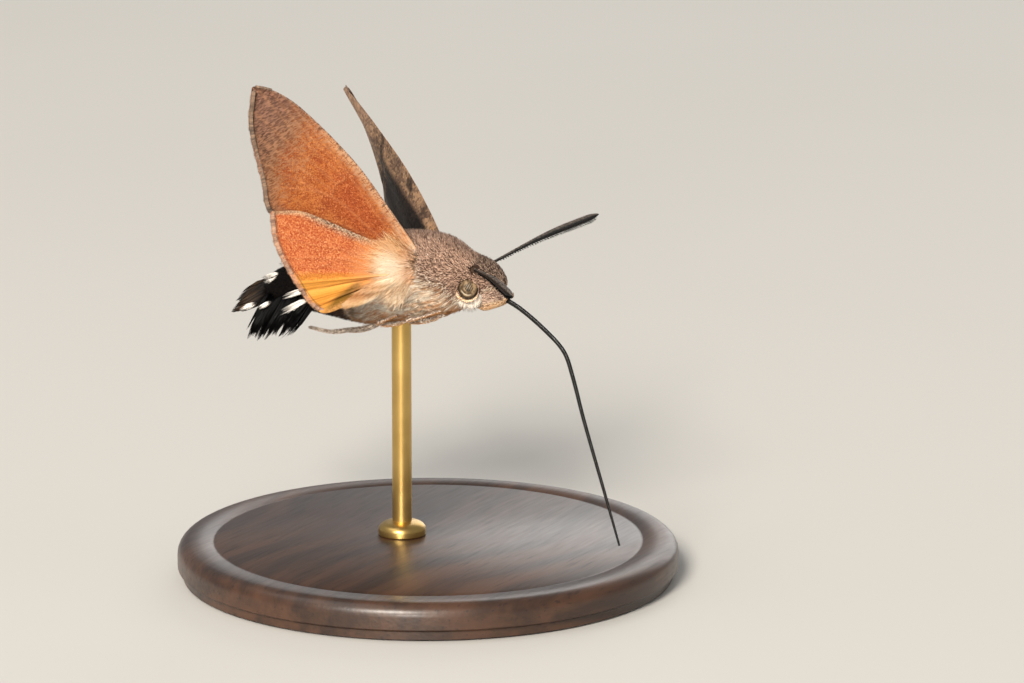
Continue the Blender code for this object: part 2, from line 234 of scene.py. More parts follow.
def noise(place, scale, detail=2.0, rough=0.5):
    values = {"Vector": place, "Scale": scale, "Detail": detail, "Roughness": rough}
    return place.node("TexNoise", {}, values)


def cells(place, scale, output=0, random=1.0):
    """Cells of about the same size; output 0 is the distance from a middle, 1 a colour for each."""
    values = {"Vector": place, "Scale": scale, "Randomness": random}
    return place.node("TexVoronoi", {}, values, output)


def speckle(place, scale, random=1.0):
    """A number between 0 and 1 for each cell."""
    return split(cells(place, scale, 1, random))[0]


def apart(a, b):
    """How long a vector with the parts a and b is."""
    return a.math("SQRT", a * a + b * b)


def relief(height, metres):
    """A normal from a height between 0 and 1 that stands so many metres tall."""
    return height.node("Bump", {}, {"Height": height, "Distance": metres})


def material(name, design, **constants):
    """A material whose design(wire) gives the wires to link; constants sit on the shader."""
    made = bpy.data.materials.new(name)
    made.use_nodes = True
    shader = made.node_tree.nodes["Principled BSDF"]
    for socket, value in constants.items():
        shader.inputs[socket.replace("_", " ")].default_value = value
    for socket, wire in design(Wire(made.node_tree)).items():
        made.node_tree.links.new(wire.socket, shader.inputs[socket])
    return made


# %% [markdown]
# The camera stands where the photographer stood: ahead of the moth's right side and a little
# above it, half a metre away with a long lens, which keeps the wings' shapes as flat as in a
# close-up from afar.

# %% Camera
BACK = Vector((0.442, -0.868, 0.225)).normalized()
RIGHT = Vector((0.891, 0.454, 0.0)).normalized()
UP = BACK.cross(RIGHT).normalized()
DISTANCE = 0.5
LENS = 193.3
AIM = Vector(to_frame((0, 0, 0))) + RIGHT * 9.09 * MM - UP * 5.59 * MM
camera_data = bpy.data.cameras.new("camera")
camera_data.lens = LENS
camera_data.clip_start = 0.01
camera_data.clip_end = 20.0
camera = bpy.data.objects.new("camera", camera_data)
facing = Matrix((RIGHT, UP, BACK)).transposed().to_4x4()
camera.matrix_world = Matrix.Translation(AIM + BACK * DISTANCE) @ facing
bpy.context.scene.collection.objects.link(camera)
bpy.context.scene.camera = camera
bpy.context.scene.view_settings.view_transform = "Standard"
print("camera at", [round(v, 3) for v in camera.matrix_world.translation])

# %% [markdown]
# A plain studio: a pale floor, an even pale surround, one large soft light high on the camera's
# left, as the sun stands in the photograph, and three weaker ones that open the shadows: one
# from a little below the camera, one from above and one from behind.

# %% Studio
world = bpy.data.worlds.new("surround")
bpy.context.scene.world = world
world.use_nodes = True
surround = world.node_tree.nodes["Background"].inputs
surround["Color"].default_value = (0.80, 0.81, 0.82, 1)
surround["Strength"].default_value = 0.40


def soft_light(name, toward, distance, size, watts, colour):
    lamp_data = bpy.data.lights.new(name, "AREA")
    lamp_data.shape = "DISK"
    lamp_data.size = size
    lamp_data.energy = watts
    lamp_data.color = colour
    lamp = bpy.data.objects.new(name, lamp_data)
    toward = toward.normalized()
    aimed = toward.to_track_quat("Z", "Y").to_matrix().to_4x4()
    lamp.matrix_world = Matrix.Translation(AIM + toward * distance) @ aimed
    bpy.context.scene.collection.objects.link(lamp)


soft_light("key", BACK * 1.0 - RIGHT * 0.3 + UP * 0.38, 2.0, 0.66, 52.0, (1.0, 0.94, 0.85))
soft_light("low", BACK * 1.0 - RIGHT * 0.15 - UP * 0.12, 1.6, 0.3, 10.0, (1.0, 0.94, 0.86))
soft_light("fill", BACK * 0.3 - RIGHT * 0.5 + UP * 0.9, 2.0, 1.4, 7.0, (1.0, 0.98, 0.95))
soft_light("rear", BACK * -0.8 + RIGHT * 0.3 + UP * 0.5, 2.0, 1.4, 9.0, (1.0, 0.98, 0.95))

FLOOR_RADIUS = 4.0
shape = bmesh.new()
bmesh.ops.create_circle(shape, cap_ends=True, segments=96, radius=FLOOR_RADIUS)
floor = bpy.data.objects.new("floor", as_mesh("floor", shape))
bpy.context.scene.collection.objects.link(floor)


def floor_design(wire):
    return {"Base Color": mix(noise(own_place(wire), 9.0, 3.0), "C9C6C0", "CFCCC7")}


floor.data.materials.append(material("floor_paint", floor_design, Roughness=0.85))
floor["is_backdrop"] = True

# %% [markdown]
# Head, thorax and abdomen are one smooth body whose sections are ellipses. The same rows of
# numbers as in the solids give it here: the skin is this body drawn in by the depth of the
# coat, and every hair finds its root and its way on it.

# %% The body's sections
TRUNK = (
    (9.6, 0.1, 0.8, 0.35),
    (9.2, 0.85, 1.4, -0.05),
    (8.4, 1.35, 2.3, -0.35),
    (7.4, 1.7, 2.8, -0.9),
    (6.4, 2.0, 3.05, -1.5),
    (5.6, 2.25, 3.35, -1.9),
    (4.5, 3.0, 3.95, -2.4),
    (3.0, 3.6, 4.45, -2.95),
    (1.2, 3.95, 4.56, -3.4),
    (-1.0, 4.0, 4.4, -3.8),
    (-3.0, 3.8, 3.9, -4.15),
    (-4.8, 3.4, 3.25, -4.25),
    (-8.5, 2.9, 1.9, -3.9),
    (-12.5, 2.4, 0.25, -3.35),
    (-14.2, 1.7, -0.6, -3.0),
    (-15.2, 0.6, -1.3, -2.5),
)
COAT_DEPTH = (
    (-15.2, 0.1), (-13, 0.25), (-8, 0.32), (-3, 0.4), (2, 0.4), (5, 0.32), (7.5, 0.22), (9.6, 0.08),
)
WAIST = -4.9
TAIL_TWIST = math.radians(19)


def read_rows(rows, x):
    """The numbers beside x in rows of (x, number, ...), on a smooth curve with no overshoot."""
    rows = np.array(rows, float)
    rows = rows[np.argsort(rows[:, 0])]
    knots, values = rows[:, 0], rows[:, 1:]
    x = np.clip(np.asarray(x, float), knots[0], knots[-1])
    spot = np.clip(np.searchsorted(knots, x, side="right") - 1, 0, len(knots) - 2)
    span = np.diff(knots)
    secants = np.diff(values, axis=0) / span[:, None]
    product = secants[:-1] * secants[1:]
    total = np.where(product > 0, secants[:-1] + secants[1:], 1.0)
    slopes = np.vstack([secants[:1], np.where(product > 0, 2 * product / total, 0.0), secants[-1:]])
    t = ((x - knots[spot]) / span[spot])[..., None]
    reach = span[spot][..., None] / 3
    start, end = values[spot], values[spot + 1]
    pulled = 3 * t * (1 - t) ** 2 * (start + slopes[spot] * reach)
    pulled += 3 * t * t * (1 - t) * (end - slopes[spot + 1] * reach)
    return start * (1 - t) ** 3 + pulled + end * t ** 3


SECTION_X = np.linspace(TRUNK[-1][0], TRUNK[0][0], 1200)
SECTIONS = read_rows(TRUNK, SECTION_X)
DEPTHS = read_rows(COAT_DEPTH, SECTION_X)[:, 0]


def section(x):
    """Half width, middle height, half height and roll of the body beside x."""
    half_width, top, bottom = (np.interp(x, SECTION_X, SECTIONS[:, i]) for i in range(3))
    turn = TAIL_TWIST * np.clip((WAIST - x) / (WAIST - TRUNK[-1][0]), 0, 1)
    return half_width, (top + bottom) / 2, (top - bottom) / 2, turn


def body_point(x, angle, lift=0.0):
    """A point on the body; angle runs from +Y over the back, lift grows the section."""
    half_width, middle, half_height, turn = section(x)
    across = np.maximum(half_width + lift, 0.35 * half_width) * np.cos(angle)
    up = np.maximum(half_height + lift, 0.35 * half_height) * np.sin(angle)
    y = across * np.cos(turn) - up * np.sin(turn)
    z = middle + across * np.sin(turn) + up * np.cos(turn)
    return np.stack([np.broadcast_to(x, np.shape(y)), y, z], axis=-1)


def body_angle(points):
    """The angle round the body at which a point lies."""
    half_width, middle, half_height, turn = section(points[..., 0])
    y, z = points[..., 1], points[..., 2] - middle
    across = (y * np.cos(turn) + z * np.sin(turn)) / half_width
    up = (z * np.cos(turn) - y * np.sin(turn)) / half_height
    return np.arctan2(up, across)


def body_normal(x, angle):
    ahead = body_point(x + 0.02, angle) - body_point(x - 0.02, angle)
    around = body_point(x, angle + 0.01) - body_point(x, angle - 0.01)
    return unit(np.cross(ahead, around))


def depth_at(x):
    return np.interp(x, SECTION_X, DEPTHS)


test = body_normal(np.array([0.0]), np.array([math.pi / 2]))[0]
print("normal on the back:", np.round(test, 2))

# %% [markdown]
# The markings are told by three numbers that go with every hair and every point of the skin: how
# far along the body it sits, how many degrees it lies below the line where the grey-brown back
# turns into the cream side, and how many degrees round from the back's middle. Skin and coat
# read the same numbers, so they agree.

# %% Where the back's colour ends
COLOUR_LINE = (
    (-16, 75), (-9, 72), (-5, 68), (-2, 58), (0, 58), (1.5, 68),
    (2.6, 80), (4.7, 97), (5.6, 122), (7.5, 128), (8.6, 116), (9.6, 105),
)


def marking(points):
    """(along the body, degrees below the colour line, degrees round from the back)."""
    points = np.asarray(points, float)
    around = np.abs(np.degrees(np.arctan2(-np.cos(body_angle(points)), np.sin(body_angle(points)))))
    below = around - read_rows(COLOUR_LINE, points[..., 0])[..., 0]
    return np.stack([points[..., 0], below, around], axis=-1)


def body_colour(wire, tint):
    """The markings of back, side, belly and abdomen from the marking numbers, with painted shadow under
    the wing and a painted warm reflection on the belly.
    """
    along, below, around = split(attribute(wire, "marking"))
    place = attribute(wire, "place")
    coarse = noise(place, 0.55, 3.0)
    fine = noise(place, 2.4, 2.0)
    back = mix(between(fine * 0.35 + tint * 0.85, 0.2, 0.95), "573F34", "CFAA92")
    back = mix(between(tint, 0.86, 0.97) * 0.6, back, "F0DAC8")
    back = mix(band(around, -5, 16, 9) * band(along, -4, 8, 2) * 0.3, back, "57433A")
    crown = between(along, 6.2, 7.4) * between(around, 85, 50)
    back = mix(crown * 0.7, back, mix(between(tint, 0.3, 0.9), "2C211C", "94806F"))
    side = mix(between(tint + (coarse - 0.5) * 0.5, 0.05, 0.7), "DFA670", "FFF2DC")
    side = mix(between(coarse, 0.50, 0.64) * between(tint, 0.55, 0.2) * 0.75, side, "F0A660")
    side = mix(between(tint, 0.76, 0.86) * 0.55, side, "F2EAE2")
    side = mix(between(tint, 0.88, 0.92) * 0.6, side, "8A6444")
    # the lower flank turns pale cream: partly its own pale hair, partly painted light on the side that
    # faces down
    under = band(around, 96, 142, 10) * band(along, -3.6, 3.0, 1.5)
    side = mix(under * 0.7, side, mix(between(tint, 0.15, 0.6), "DCA674", "FFFAEE"))
    # painted shadow: the flank under the hindwing's hair lobe turns a darker brown
    lobe_shadow = band(along, -3.4, -1.8, 0.8) * band(around, 98, 134, 10)
    side = mix(lobe_shadow * 0.45, side, mix(tint, "5E4636", "C8A88A"))
    # painted shadow: a dark band on the lower side where the thorax's hair ends under the wing
    hem = band(along, -4.6, -3.3, 0.7) * between(around, 92, 108)
    side = mix(hem * 0.85, side, mix(tint, "241A14", "7E6450"))
    side = mix(between(along, 3.0, 6.0) * 0.35, side, mix(tint, "9C7C68", "F4DCC6"))
    pit = band(along, -2.6, 1.9, 1.6) * band(below, -16, 34, 16)
    side = mix(pit * 0.8, side, mix(tint, "F6CFA4", "FFF4E2"))
    # painted warm reflection and shade: the keel under the belly turns orange
    keel = between(around, 134, 156) * band(along, -4.5, 6.0, 1.5)
    side = mix(keel * 0.9, side, mix(tint, "B4641C", "DE9E54"))
    rump = between(along, -4.5, -5.7)
    side = mix(rump * band(below, 0, 46, 14), side, mix(tint, "A06A36", "DCA868"))
    # the abdomen's base goes near-black below its side: partly its own dark colour, partly painted shadow
    # under the wing
    side = mix(rump * between(around, 92, 108), side, mix(tint, "1C1511", "5C4638"))
    pale = between(below + (fine - 0.5) * 26.0 + (tint - 0.5) * 16.0, -8, 10)
    cuff = band(along + (fine - 0.5) * 0.6, -2.6, 2.0, 0.4) * between(below, -26, -16)
    colour = mix(wire.math("MAXIMUM", pale, cuff), back, side)
    dark = between(along + (fine - 0.5) * 2.0, -6.4, -8.4) * between(around, 34, 58)
    dark = dark + between(along + (fine - 0.5) * 2.0, -10.0, -12.0)
    black = mix(tint, "040303", "1C1715")
    return mix(between(dark, 0.0, 1.0), colour, black)


# %% The skin's finish
def scaled(vector, factors):
    return vector.node("VectorMath", {"operation": "MULTIPLY"}, {0: vector, 1: factors})


def skin_design(wire):
    place = attribute(wire, "place")
    tint = noise(place, 7.0, 2.0)
    x, _, z = split(place)
    # painted shade: the skin shows only between the hairs, so its colour goes most of the way to dark
    # brown, and darker still in the antenna's socket
    socket = apart(x - 6.85, z - 1.95)
    colour = mix(between(socket, 0.75, 0.5) * 0.3 + 0.6, body_colour(wire, tint), "2A1C13")
    grain = noise(scaled(place, (3.0, 9.0, 9.0)), 1.0, 2.0)
    return {"Base Color": colour, "Normal": relief(grain, 0.00006)}


skin_finish = material("skin", skin_design, Roughness=0.8, Specular_IOR_Level=0.1)

# %% [markdown]
# A palp is a blunt scaled lobe under the face; the same kind of lobe, a rod of changing width
# and height, also gives the flared tufts and the fan of the tail. It is written once, as a
# function from a share of its length and an angle to a point.

# %% Lobes
PALP_ROWS = (
    (0, 0.2, 0.3), (0.15, 0.45, 0.7), (0.38, 0.56, 1.05),
    (0.75, 0.54, 0.85), (0.92, 0.42, 0.6), (1, 0.1, 0.2),
)
TUFT_ROWS = ((0, 0.5, 0.5), (0.2, 0.88, 0.7), (0.75, 0.88, 0.6), (0.93, 0.65, 0.4), (1, 0.15, 0.1))
TAIL_ROWS = ((0, 1.0, 0.7), (0.35, 2.1, 0.85), (0.7, 3.1, 0.65), (0.92, 2.7, 0.45), (1, 0.7, 0.2))


def lobe_point(lobe, share, angle, fill=1.0, shrink=0.0):
    """A point in a lobe (start, end, across, rows); fill is 0 on its axis and 1 on its skin."""
    start, end, across, rows = (np.array(part, float) for part in lobe)
    forward = unit(end - start)
    across = unit(across - forward * forward.dot(across))
    up = np.cross(forward, across)
    size = read_rows(rows, share)
    width = np.maximum(size[..., 0] - shrink, 0.3 * size[..., 0]) * fill
    height = np.maximum(size[..., 1] - shrink, 0.3 * size[..., 1]) * fill
    reach = across * (width * np.cos(angle))[..., None] + up * (height * np.sin(angle))[..., None]
    return start + (end - start) * np.asarray(share)[..., None] + reach


PALP_TIPS = {"right": (9.9, -0.6, -0.3), "left": (9.6, 0.5, -0.55)}
PALPS = {}
for side, sign in SIDES.items():
    PALPS[side] = ((6.2, sign * 0.72, -1.2), PALP_TIPS[side], (0, 1, 0), PALP_ROWS)

# %% [markdown]
# The skin: a ball is mapped onto the body and one onto each palp, a small knob marks the root of
# each antenna, and a voxel remesh melts them into one skin without a seam.

# %% Skin
ANTENNA_ROOT = np.array((7.1, 1.35, 1.9))
PALP_COAT = 0.14
MELT_STEP = 0.13


def mapped_ball(shape, around, along, place):
    """Adds a ball whose points go to place(share, angle), where share runs from pole to pole."""
    verts = bmesh.ops.create_uvsphere(shape, u_segments=around, v_segments=along, radius=1.0)["verts"]
    share = np.array([(1 + v.co.z) / 2 for v in verts])
    angle = np.array([math.atan2(v.co.y, v.co.x) for v in verts])
    for vertex, point in zip(verts, place(share, angle)):
        vertex.co = Vector(point)


def skin_point(share, angle):
    x = SECTION_X[0] + (SECTION_X[-1] - SECTION_X[0]) * share
    return body_point(x, angle, -depth_at(x))


shape = bmesh.new()
mapped_ball(shape, 72, 150, skin_point)
for side, sign in SIDES.items():
    mapped_ball(shape, 32, 24, lambda *spot: lobe_point(PALPS[side], *spot, 1.0, PALP_COAT))
    knob = Matrix.Translation((ANTENNA_ROOT - (0.1, 0.12, 0.1)) * (1, sign, 1))
    bmesh.ops.create_uvsphere(shape, u_segments=24, v_segments=16, radius=0.36, matrix=knob)
rough = bpy.data.objects.new("skin_rough", as_mesh("skin_rough", shape))
bpy.context.scene.collection.objects.link(rough)
remesh = rough.modifiers.new("melt", "REMESH")
remesh.mode = "VOXEL"
remesh.voxel_size = MELT_STEP
smooth = rough.modifiers.new("smooth", "SMOOTH")
smooth.iterations = 6
melted = rough.evaluated_get(bpy.context.evaluated_depsgraph_get())
skin_mesh = bpy.data.meshes.new_from_object(melted)
skin_mesh.name = "skin"
bpy.data.objects.remove(rough)
skin_places = vertex_places(skin_mesh)
keep_values(skin_mesh, "place", skin_places)
keep_values(skin_mesh, "marking", marking(skin_places))
skin_mesh.transform(TO_FRAME)
flesh = ("head", "thorax", "abdomen_base", "abdomen_middle", "abdomen_rear", "palp_right", "palp_left")
finish_piece("skin", skin_mesh, [skin_finish], flesh)

# %% [markdown]
# Every hair and every blade of a fringe is a slim closed spike with three sides: rings along a
# spine, closed by a point at either end. Tens of thousands are made at once from arrays, as a
# mesh operator for each would take minutes. Each carries the place of its root, a random tint,
# and how far along it a point lies, and its OFBake patch lies at its root's place on the
# unrolled body.

# %% Hairs from spines
PATCH = 0.003


def spikes(name, spines, widths, up, markings, tints, finish, unwrap,
           nodes=(), flat=0.45, plump=(), gaps=0.0):
    """A mesh of spikes. spines is (hairs, points, 3) in millimetres, up their upper sides."""
    count, points = spines.shape[:2]
    widths, gaps = np.broadcast_to(widths, count), np.broadcast_to(gaps, count)
    up = np.broadcast_to(up, (count, 3))
    rings = points - 2
    tangents = unit(np.gradient(spines, axis=1))
    side = unit(np.cross(tangents, up[:, None, :]))
    top = np.cross(side, tangents)
    plump = np.array(plump or np.linspace(1.0, 0.6, rings))
    half = widths[:, None] / 2 * plump[None, :]
    corners = []
    for degrees in (90, 210, 330):
        out = side[:, 1:-1] * math.cos(math.radians(degrees))
        out = out + top[:, 1:-1] * math.sin(math.radians(degrees)) * flat
        corners.append(spines[:, 1:-1] + out * half[..., None])
    verts = np.stack(corners, axis=2).reshape(count, rings * 3, 3)
    verts = np.concatenate([spines[:, :1], verts, spines[:, -1:]], axis=1)
    per_hair = rings * 3 + 2
    faces = [(0, 1 + (corner + 1) % 3, 1 + corner) for corner in range(3)]
    for ring in range(rings - 1):
        for corner in range(3):
            a, b = 1 + ring * 3 + corner, 1 + ring * 3 + (corner + 1) % 3
            faces += [(a, b, b + 3), (a, b + 3, a + 3)]
    last = rings * 3 - 2
    faces += [(last + corner, last + (corner + 1) % 3, per_hair - 1) for corner in range(3)]
    faces = np.array(faces)
    loops = (faces[None] + (np.arange(count) * per_hair)[:, None, None]).ravel()

    mesh = bpy.data.meshes.new(name)
    mesh.vertices.add(count * per_hair)
    mesh.vertices.foreach_set("co", to_frame(verts).astype(np.float32).ravel())
    mesh.loops.add(len(loops))
    mesh.loops.foreach_set("vertex_index", loops.astype(np.int32))
    mesh.polygons.add(len(loops) // 3)
    mesh.polygons.foreach_set("loop_start", np.arange(0, len(loops), 3, dtype=np.int32))
    along = np.concatenate([[0.0], np.repeat(np.arange(1, rings + 1) / (rings + 1), 3), [1.0]])
    keep_values(mesh, "place", np.repeat(spines[:, 0], per_hair, axis=0))
    keep_values(mesh, "marking", np.repeat(markings, per_hair, axis=0))
    keep_values(mesh, "tint", np.repeat(tints, per_hair))
    keep_values(mesh, "along", np.tile(along, count))
    keep_values(mesh, "gap", np.repeat(gaps, per_hair))
    corner_u = np.concatenate([[0.5], np.tile((0.0, 0.5, 1.0), rings), [0.5]]) * PATCH
    patch = np.stack([corner_u, along * PATCH], axis=-1)
    places = unwrap[:, None, :] * (1 - PATCH) + patch[None]
    layer = mesh.uv_layers.new(name="OFBake")
    layer.uv.foreach_set("vector", places.reshape(-1, 2)[loops].astype(np.float32).ravel())
    mesh.update()
    mesh.validate()
    finish_piece(name, mesh, [finish], nodes)


def unrolled(points):
    """The place of a point on the unrolled body, between 0 and 1 both ways."""
    share = (points[:, 0] - SECTION_X[0]) / (SECTION_X[-1] - SECTION_X[0])
    turn = (body_angle(points) / (2 * math.pi) + 0.75) % 1.0
    return np.clip(np.stack([share, turn], axis=-1), 0.0, 1.0)


# %% [markdown]
# Fur of a living moth is combed back from the face. On the side it parts round the wing's hinge,
# a pale pit from which it fans out, and falls in long waves over the flank. The comb is a field
# of directions on the body; each hair walks along it and is kept at its own height over the
# skin, so that no hair cuts into the body.

# %% The comb
HINGE = np.array((0.3, 3.6, 2.0))
rng = np.random.default_rng(20)


def spread(count, seed):
    """Evenly strewn points in the unit square, with no clumps."""
    steps = np.arange(count)[:, None] * np.array((0.7548776662, 0.5698402910))
    return (steps + np.random.default_rng(seed).random(2)) % 1.0


def comb(points):
    """The direction in which the fur lies at points on the body."""
    x, y, z = points[:, 0], points[:, 1], points[:, 2]
    sign = np.sign(y + 1e-9)
    _, below, around = np.moveaxis(marking(points), -1, 0)
    way = np.zeros_like(points)
    way[:, 0] = -1.0
    flank = np.clip((below + 5) / 30, 0, 1) * np.clip((x + 6) / 2, 0, 1) * np.clip((6.5 - x) / 2, 0, 1)
    wave = np.sin(1.15 * x + 0.9 * z + 1.0) * 0.42 + np.sin(0.5 * x - 1.7 * z) * 0.22
    way[:, 2] -= flank * (0.24 + wave)
    neck = np.exp(-((x - 4.9) / 0.9) ** 2) * np.clip((around - 50) / 40, 0, 1)
    way[:, 2] -= neck * 0.55
    from_hinge = points - HINGE * np.stack([np.ones_like(x), sign, np.ones_like(x)], axis=-1)
    near = np.exp(-(np.linalg.norm(from_hinge, axis=1) / 1.9) ** 2)
    way += unit(from_hinge) * (near * 1.6)[:, None]
    belly = np.clip((around - 140) / 25, 0, 1)
    way[:, 1] -= belly * sign * 0.12
    front = np.clip((x - 8.2) / 0.8, 0, 1)
    way[:, 2] += front * 0.5
    return unit(way)


def lay_down(roots, lengths, rises, points, wander):
    """Spines that start in the skin and follow the comb at a rising height over it."""
    x = roots[:, 0]
    here = body_point(x, body_angle(roots), -depth_at(x) - 0.06)
    spines = [here]
    for step in range(1, points):
        way = unit(comb(here) + wander)
        here = here + way * (lengths / (points - 1))[:, None]
        inner = np.clip(here[:, 0], SECTION_X[0] + 0.05, SECTION_X[-1] - 0.05)
        lift = -depth_at(inner) + rises * (step / (points - 1)) ** 0.85
        here = body_point(inner, body_angle(np.column_stack([inner, here[:, 1:]])), lift)
        spines.append(here)
    return np.stack(spines, axis=1)


def bundle(spines, guides, pull):
    """Draws the spines' tips towards the nearest guide, so that they gather in locks."""
    tree = KDTree(len(guides))
    for number, guide in enumerate(guides):
        tree.insert(guide[0], number)
    tree.balance()
    found = [tree.find(root)[1:] for root in spines[:, 0]]
    nearest, away = np.array([n for n, _ in found]), np.array([d for _, d in found])
    share = np.linspace(0, 1, spines.shape[1]) ** 1.2
    strength = (np.asarray(pull)[:, None] * share)[..., None]
    gaps = np.clip(away / np.percentile(away, 90), 0, 1)
    return spines + (guides[nearest] - spines) * strength, nearest, gaps


# %% [markdown]
# Coat of the trunk. Lengths go by region: a short nap on crown and back, where only the tips
# show as grain, long soft hair on flank and belly, and a ragged hem where the thorax's hair
# overhangs the abdomen. Bare places are left for the eyes, the antennae, the tongue and the rod.

# %% Where the coat grows and how long it is
EYE_PLACE = np.array((6.5, 1.55, 0.22))
EYE_RADII = np.array((0.95, 0.85, 0.95))
ROD_X = -1.2
LONG_COAT = (
    (-15, 0.9), (-5, 0.8), (-4.4, 1.0), (-3.2, 1.7), (-1.8, 2.4),
    (2, 2.3), (4.8, 1.7), (6, 0.8), (8, 0.45), (9.6, 0.3),
)


def strewn(count, seed):
    """Roots strewn evenly over the body."""
    places = spread(count, seed)
    half_width, _, half_height, _ = section(SECTION_X)
    slope = np.hypot(1.0, np.gradient(half_height, SECTION_X))
    weight = np.cumsum(np.sqrt((half_width ** 2 + half_height ** 2) / 2) * slope)
    x = np.interp(places[:, 0], weight / weight[-1], SECTION_X)
    angle = places[:, 1] * 2 * math.pi
    return body_point(x, angle)


def mirrored(points):
    """The same points with every one on the left."""
    return np.column_stack([points[:, 0], np.abs(points[:, 1]), points[:, 2]])


def eye_distance(points):
    """How far points lie from the nearer eye's middle, in eye radii."""
    return np.linalg.norm((mirrored(points) - EYE_PLACE) / EYE_RADII, axis=1)


def growing(points):
    """True where the coat grows."""
    x, y, z = points.T
    bare = eye_distance(points) < 1.04
    bare |= np.linalg.norm(mirrored(points) - ANTENNA_ROOT, axis=1) < 0.5
    bare |= (np.hypot(x - ROD_X, y) < 1.3) & (z < 0)
    bare |= (x > 8.0) & (np.abs(y) < 0.42) & (z < 0.1)
    return ~bare


def coat_length(points):
    x = points[:, 0]
    _, below, around = np.moveaxis(marking(points), -1, 0)
    nap = np.interp(x, (-15, -12, -5, -2, 2, 5, 7, 9.6), (0.9, 0.9, 0.9, 0.46, 0.28, 0.26, 0.3, 0.24))
    long = np.interp(x, *np.transpose(LONG_COAT))
    length = nap + (long - nap) * np.clip((below + 6) / 22, 0, 1)
    near_eye = np.clip((eye_distance(points) - 1.0) / 0.6, 0, 1)
    return length * (0.45 + 0.55 * near_eye)


# %% The trunk's coat
COAT_ROOTS = 96000
COAT_RISE = 1.5


def coat_design(wire):
    tint, along = hair_numbers(wire)
    colour = body_colour(wire, tint)
    darker = scaled(colour, (0.4, 0.27, 0.17))
    # painted shade: hairs at a lock's edge, where the gaps between locks are, and near their roots go
    # darker
    shade = between(kept_number(wire, "gap"), 0.6, 1.0) * 0.6 + between(along, 0.4, 0.0) * 0.25
    return {"Base Color": mix(shade, colour, darker)}


coat_finish = material("fur", coat_design, Roughness=0.62, Specular_IOR_Level=0.2)
dark_coat_finish = material("dark_fur", coat_design, Roughness=0.55, Specular_IOR_Level=0.08)

roots = strewn(COAT_ROOTS, 3)
roots = roots[growing(roots)]
_, below, around = marking(roots).T
is_long = (below + rng.normal(0, 5, len(roots)) > 0) & (roots[:, 0] > -4.5) & (roots[:, 0] < 6.0)
kept_share = np.where(is_long, np.where(around > 150, 0.4, 1.0), np.where(roots[:, 0] < WAIST, 0.5, 1.0))
kept = rng.random(len(roots)) < kept_share
short_roots = roots[kept & ~is_long]
long_roots = roots[kept & is_long]


def grown(roots, points, width, wander, guide_count, pull, seed, own_tint, gap):
    """Spines, widths, tints and gaps of a kind of coat, gathered in locks about its guides."""
    lengths = coat_length(roots) * rng.uniform(0.75, 1.2, len(roots))
    rises = (depth_at(roots[:, 0]) + 0.02) * COAT_RISE * rng.uniform(0.55, 1.15, len(roots))
    spines = lay_down(roots, lengths, rises, points, rng.normal(0, wander, roots.shape))
    tints = rng.random(len(roots))
    marks = strewn(guide_count, seed)
    marks = marks[growing(marks)]
    reach = coat_length(marks) * rng.uniform(0.85, 1.2, len(marks))
    heights = (depth_at(marks[:, 0]) + 0.04) * COAT_RISE * rng.uniform(0.6, 1.2, len(marks))
    guides = lay_down(marks, reach, heights, points, rng.normal(0, wander * 1.6, marks.shape))
    spines, nearest, gaps = bundle(spines, guides, pull * rng.uniform(0.6, 1.0, len(roots)))
    lock_tints = rng.random(len(marks))
    tints = np.clip(tints * own_tint + lock_tints[nearest] * (1 - own_tint), 0, 1)
    widths = width * rng.uniform(0.75, 1.25, len(roots)) * np.where(roots[:, 0] < WAIST, 1.4, 1.0)
    return spines, widths, tints, gaps * gap


COAT_ZONES = {
    "head": (5.3, 10.0),
    "collar": (2.2, 5.3),
    "thorax": (-1.2, 2.2),
    "rear_thorax": (WAIST, -1.2),
    "abdomen_front": (-9.2, WAIST),
    "abdomen_rear": (-16.0, -9.2),
}


def zoned(kind, spines, widths, tints, gaps):
    """One coat piece for each zone and side of the body."""
    roots = spines[:, 0]
    for zone, (rear, front) in COAT_ZONES.items():
        for side, sign in SIDES.items():
            own = (roots[:, 0] > rear) & (roots[:, 0] <= front) & (roots[:, 1] * sign >= 0)
            if own.sum() < 10:
                continue
            angle = body_angle(roots[own])
            up = body_normal(roots[own, 0], angle)
            slot, finish = "dorsal_fur" if kind == "nap" else "pale_fur", coat_finish
            if zone == "abdomen_rear":
                slot, finish = "black_fur", dark_coat_finish
            spikes(f"{kind}_{zone}_{side}", spines[own], widths[own], up, marking(roots[own]),
                   tints[own], finish, unrolled(roots[own]), gaps=gaps[own])


nap = grown(short_roots, 3, 0.08, wander=0.7, guide_count=9000, pull=0.2, seed=5, own_tint=0.9, gap=0.0)
zoned("nap", *nap)
fur = grown(long_roots, 5, 0.06, wander=0.1, guide_count=5200, pull=0.8, seed=6, own_tint=0.35, gap=1.0)
zoned("fur", *fur)

# %% [markdown]
# The scales of the palps are the shortest of all and lie towards the tips. Like the tufts further
# on they start from a lobe, whose hairs can run along it as in a brush.

# %% Coat of the palps
PALP_SCALES = 4600
PALP_FRONT = 10.05


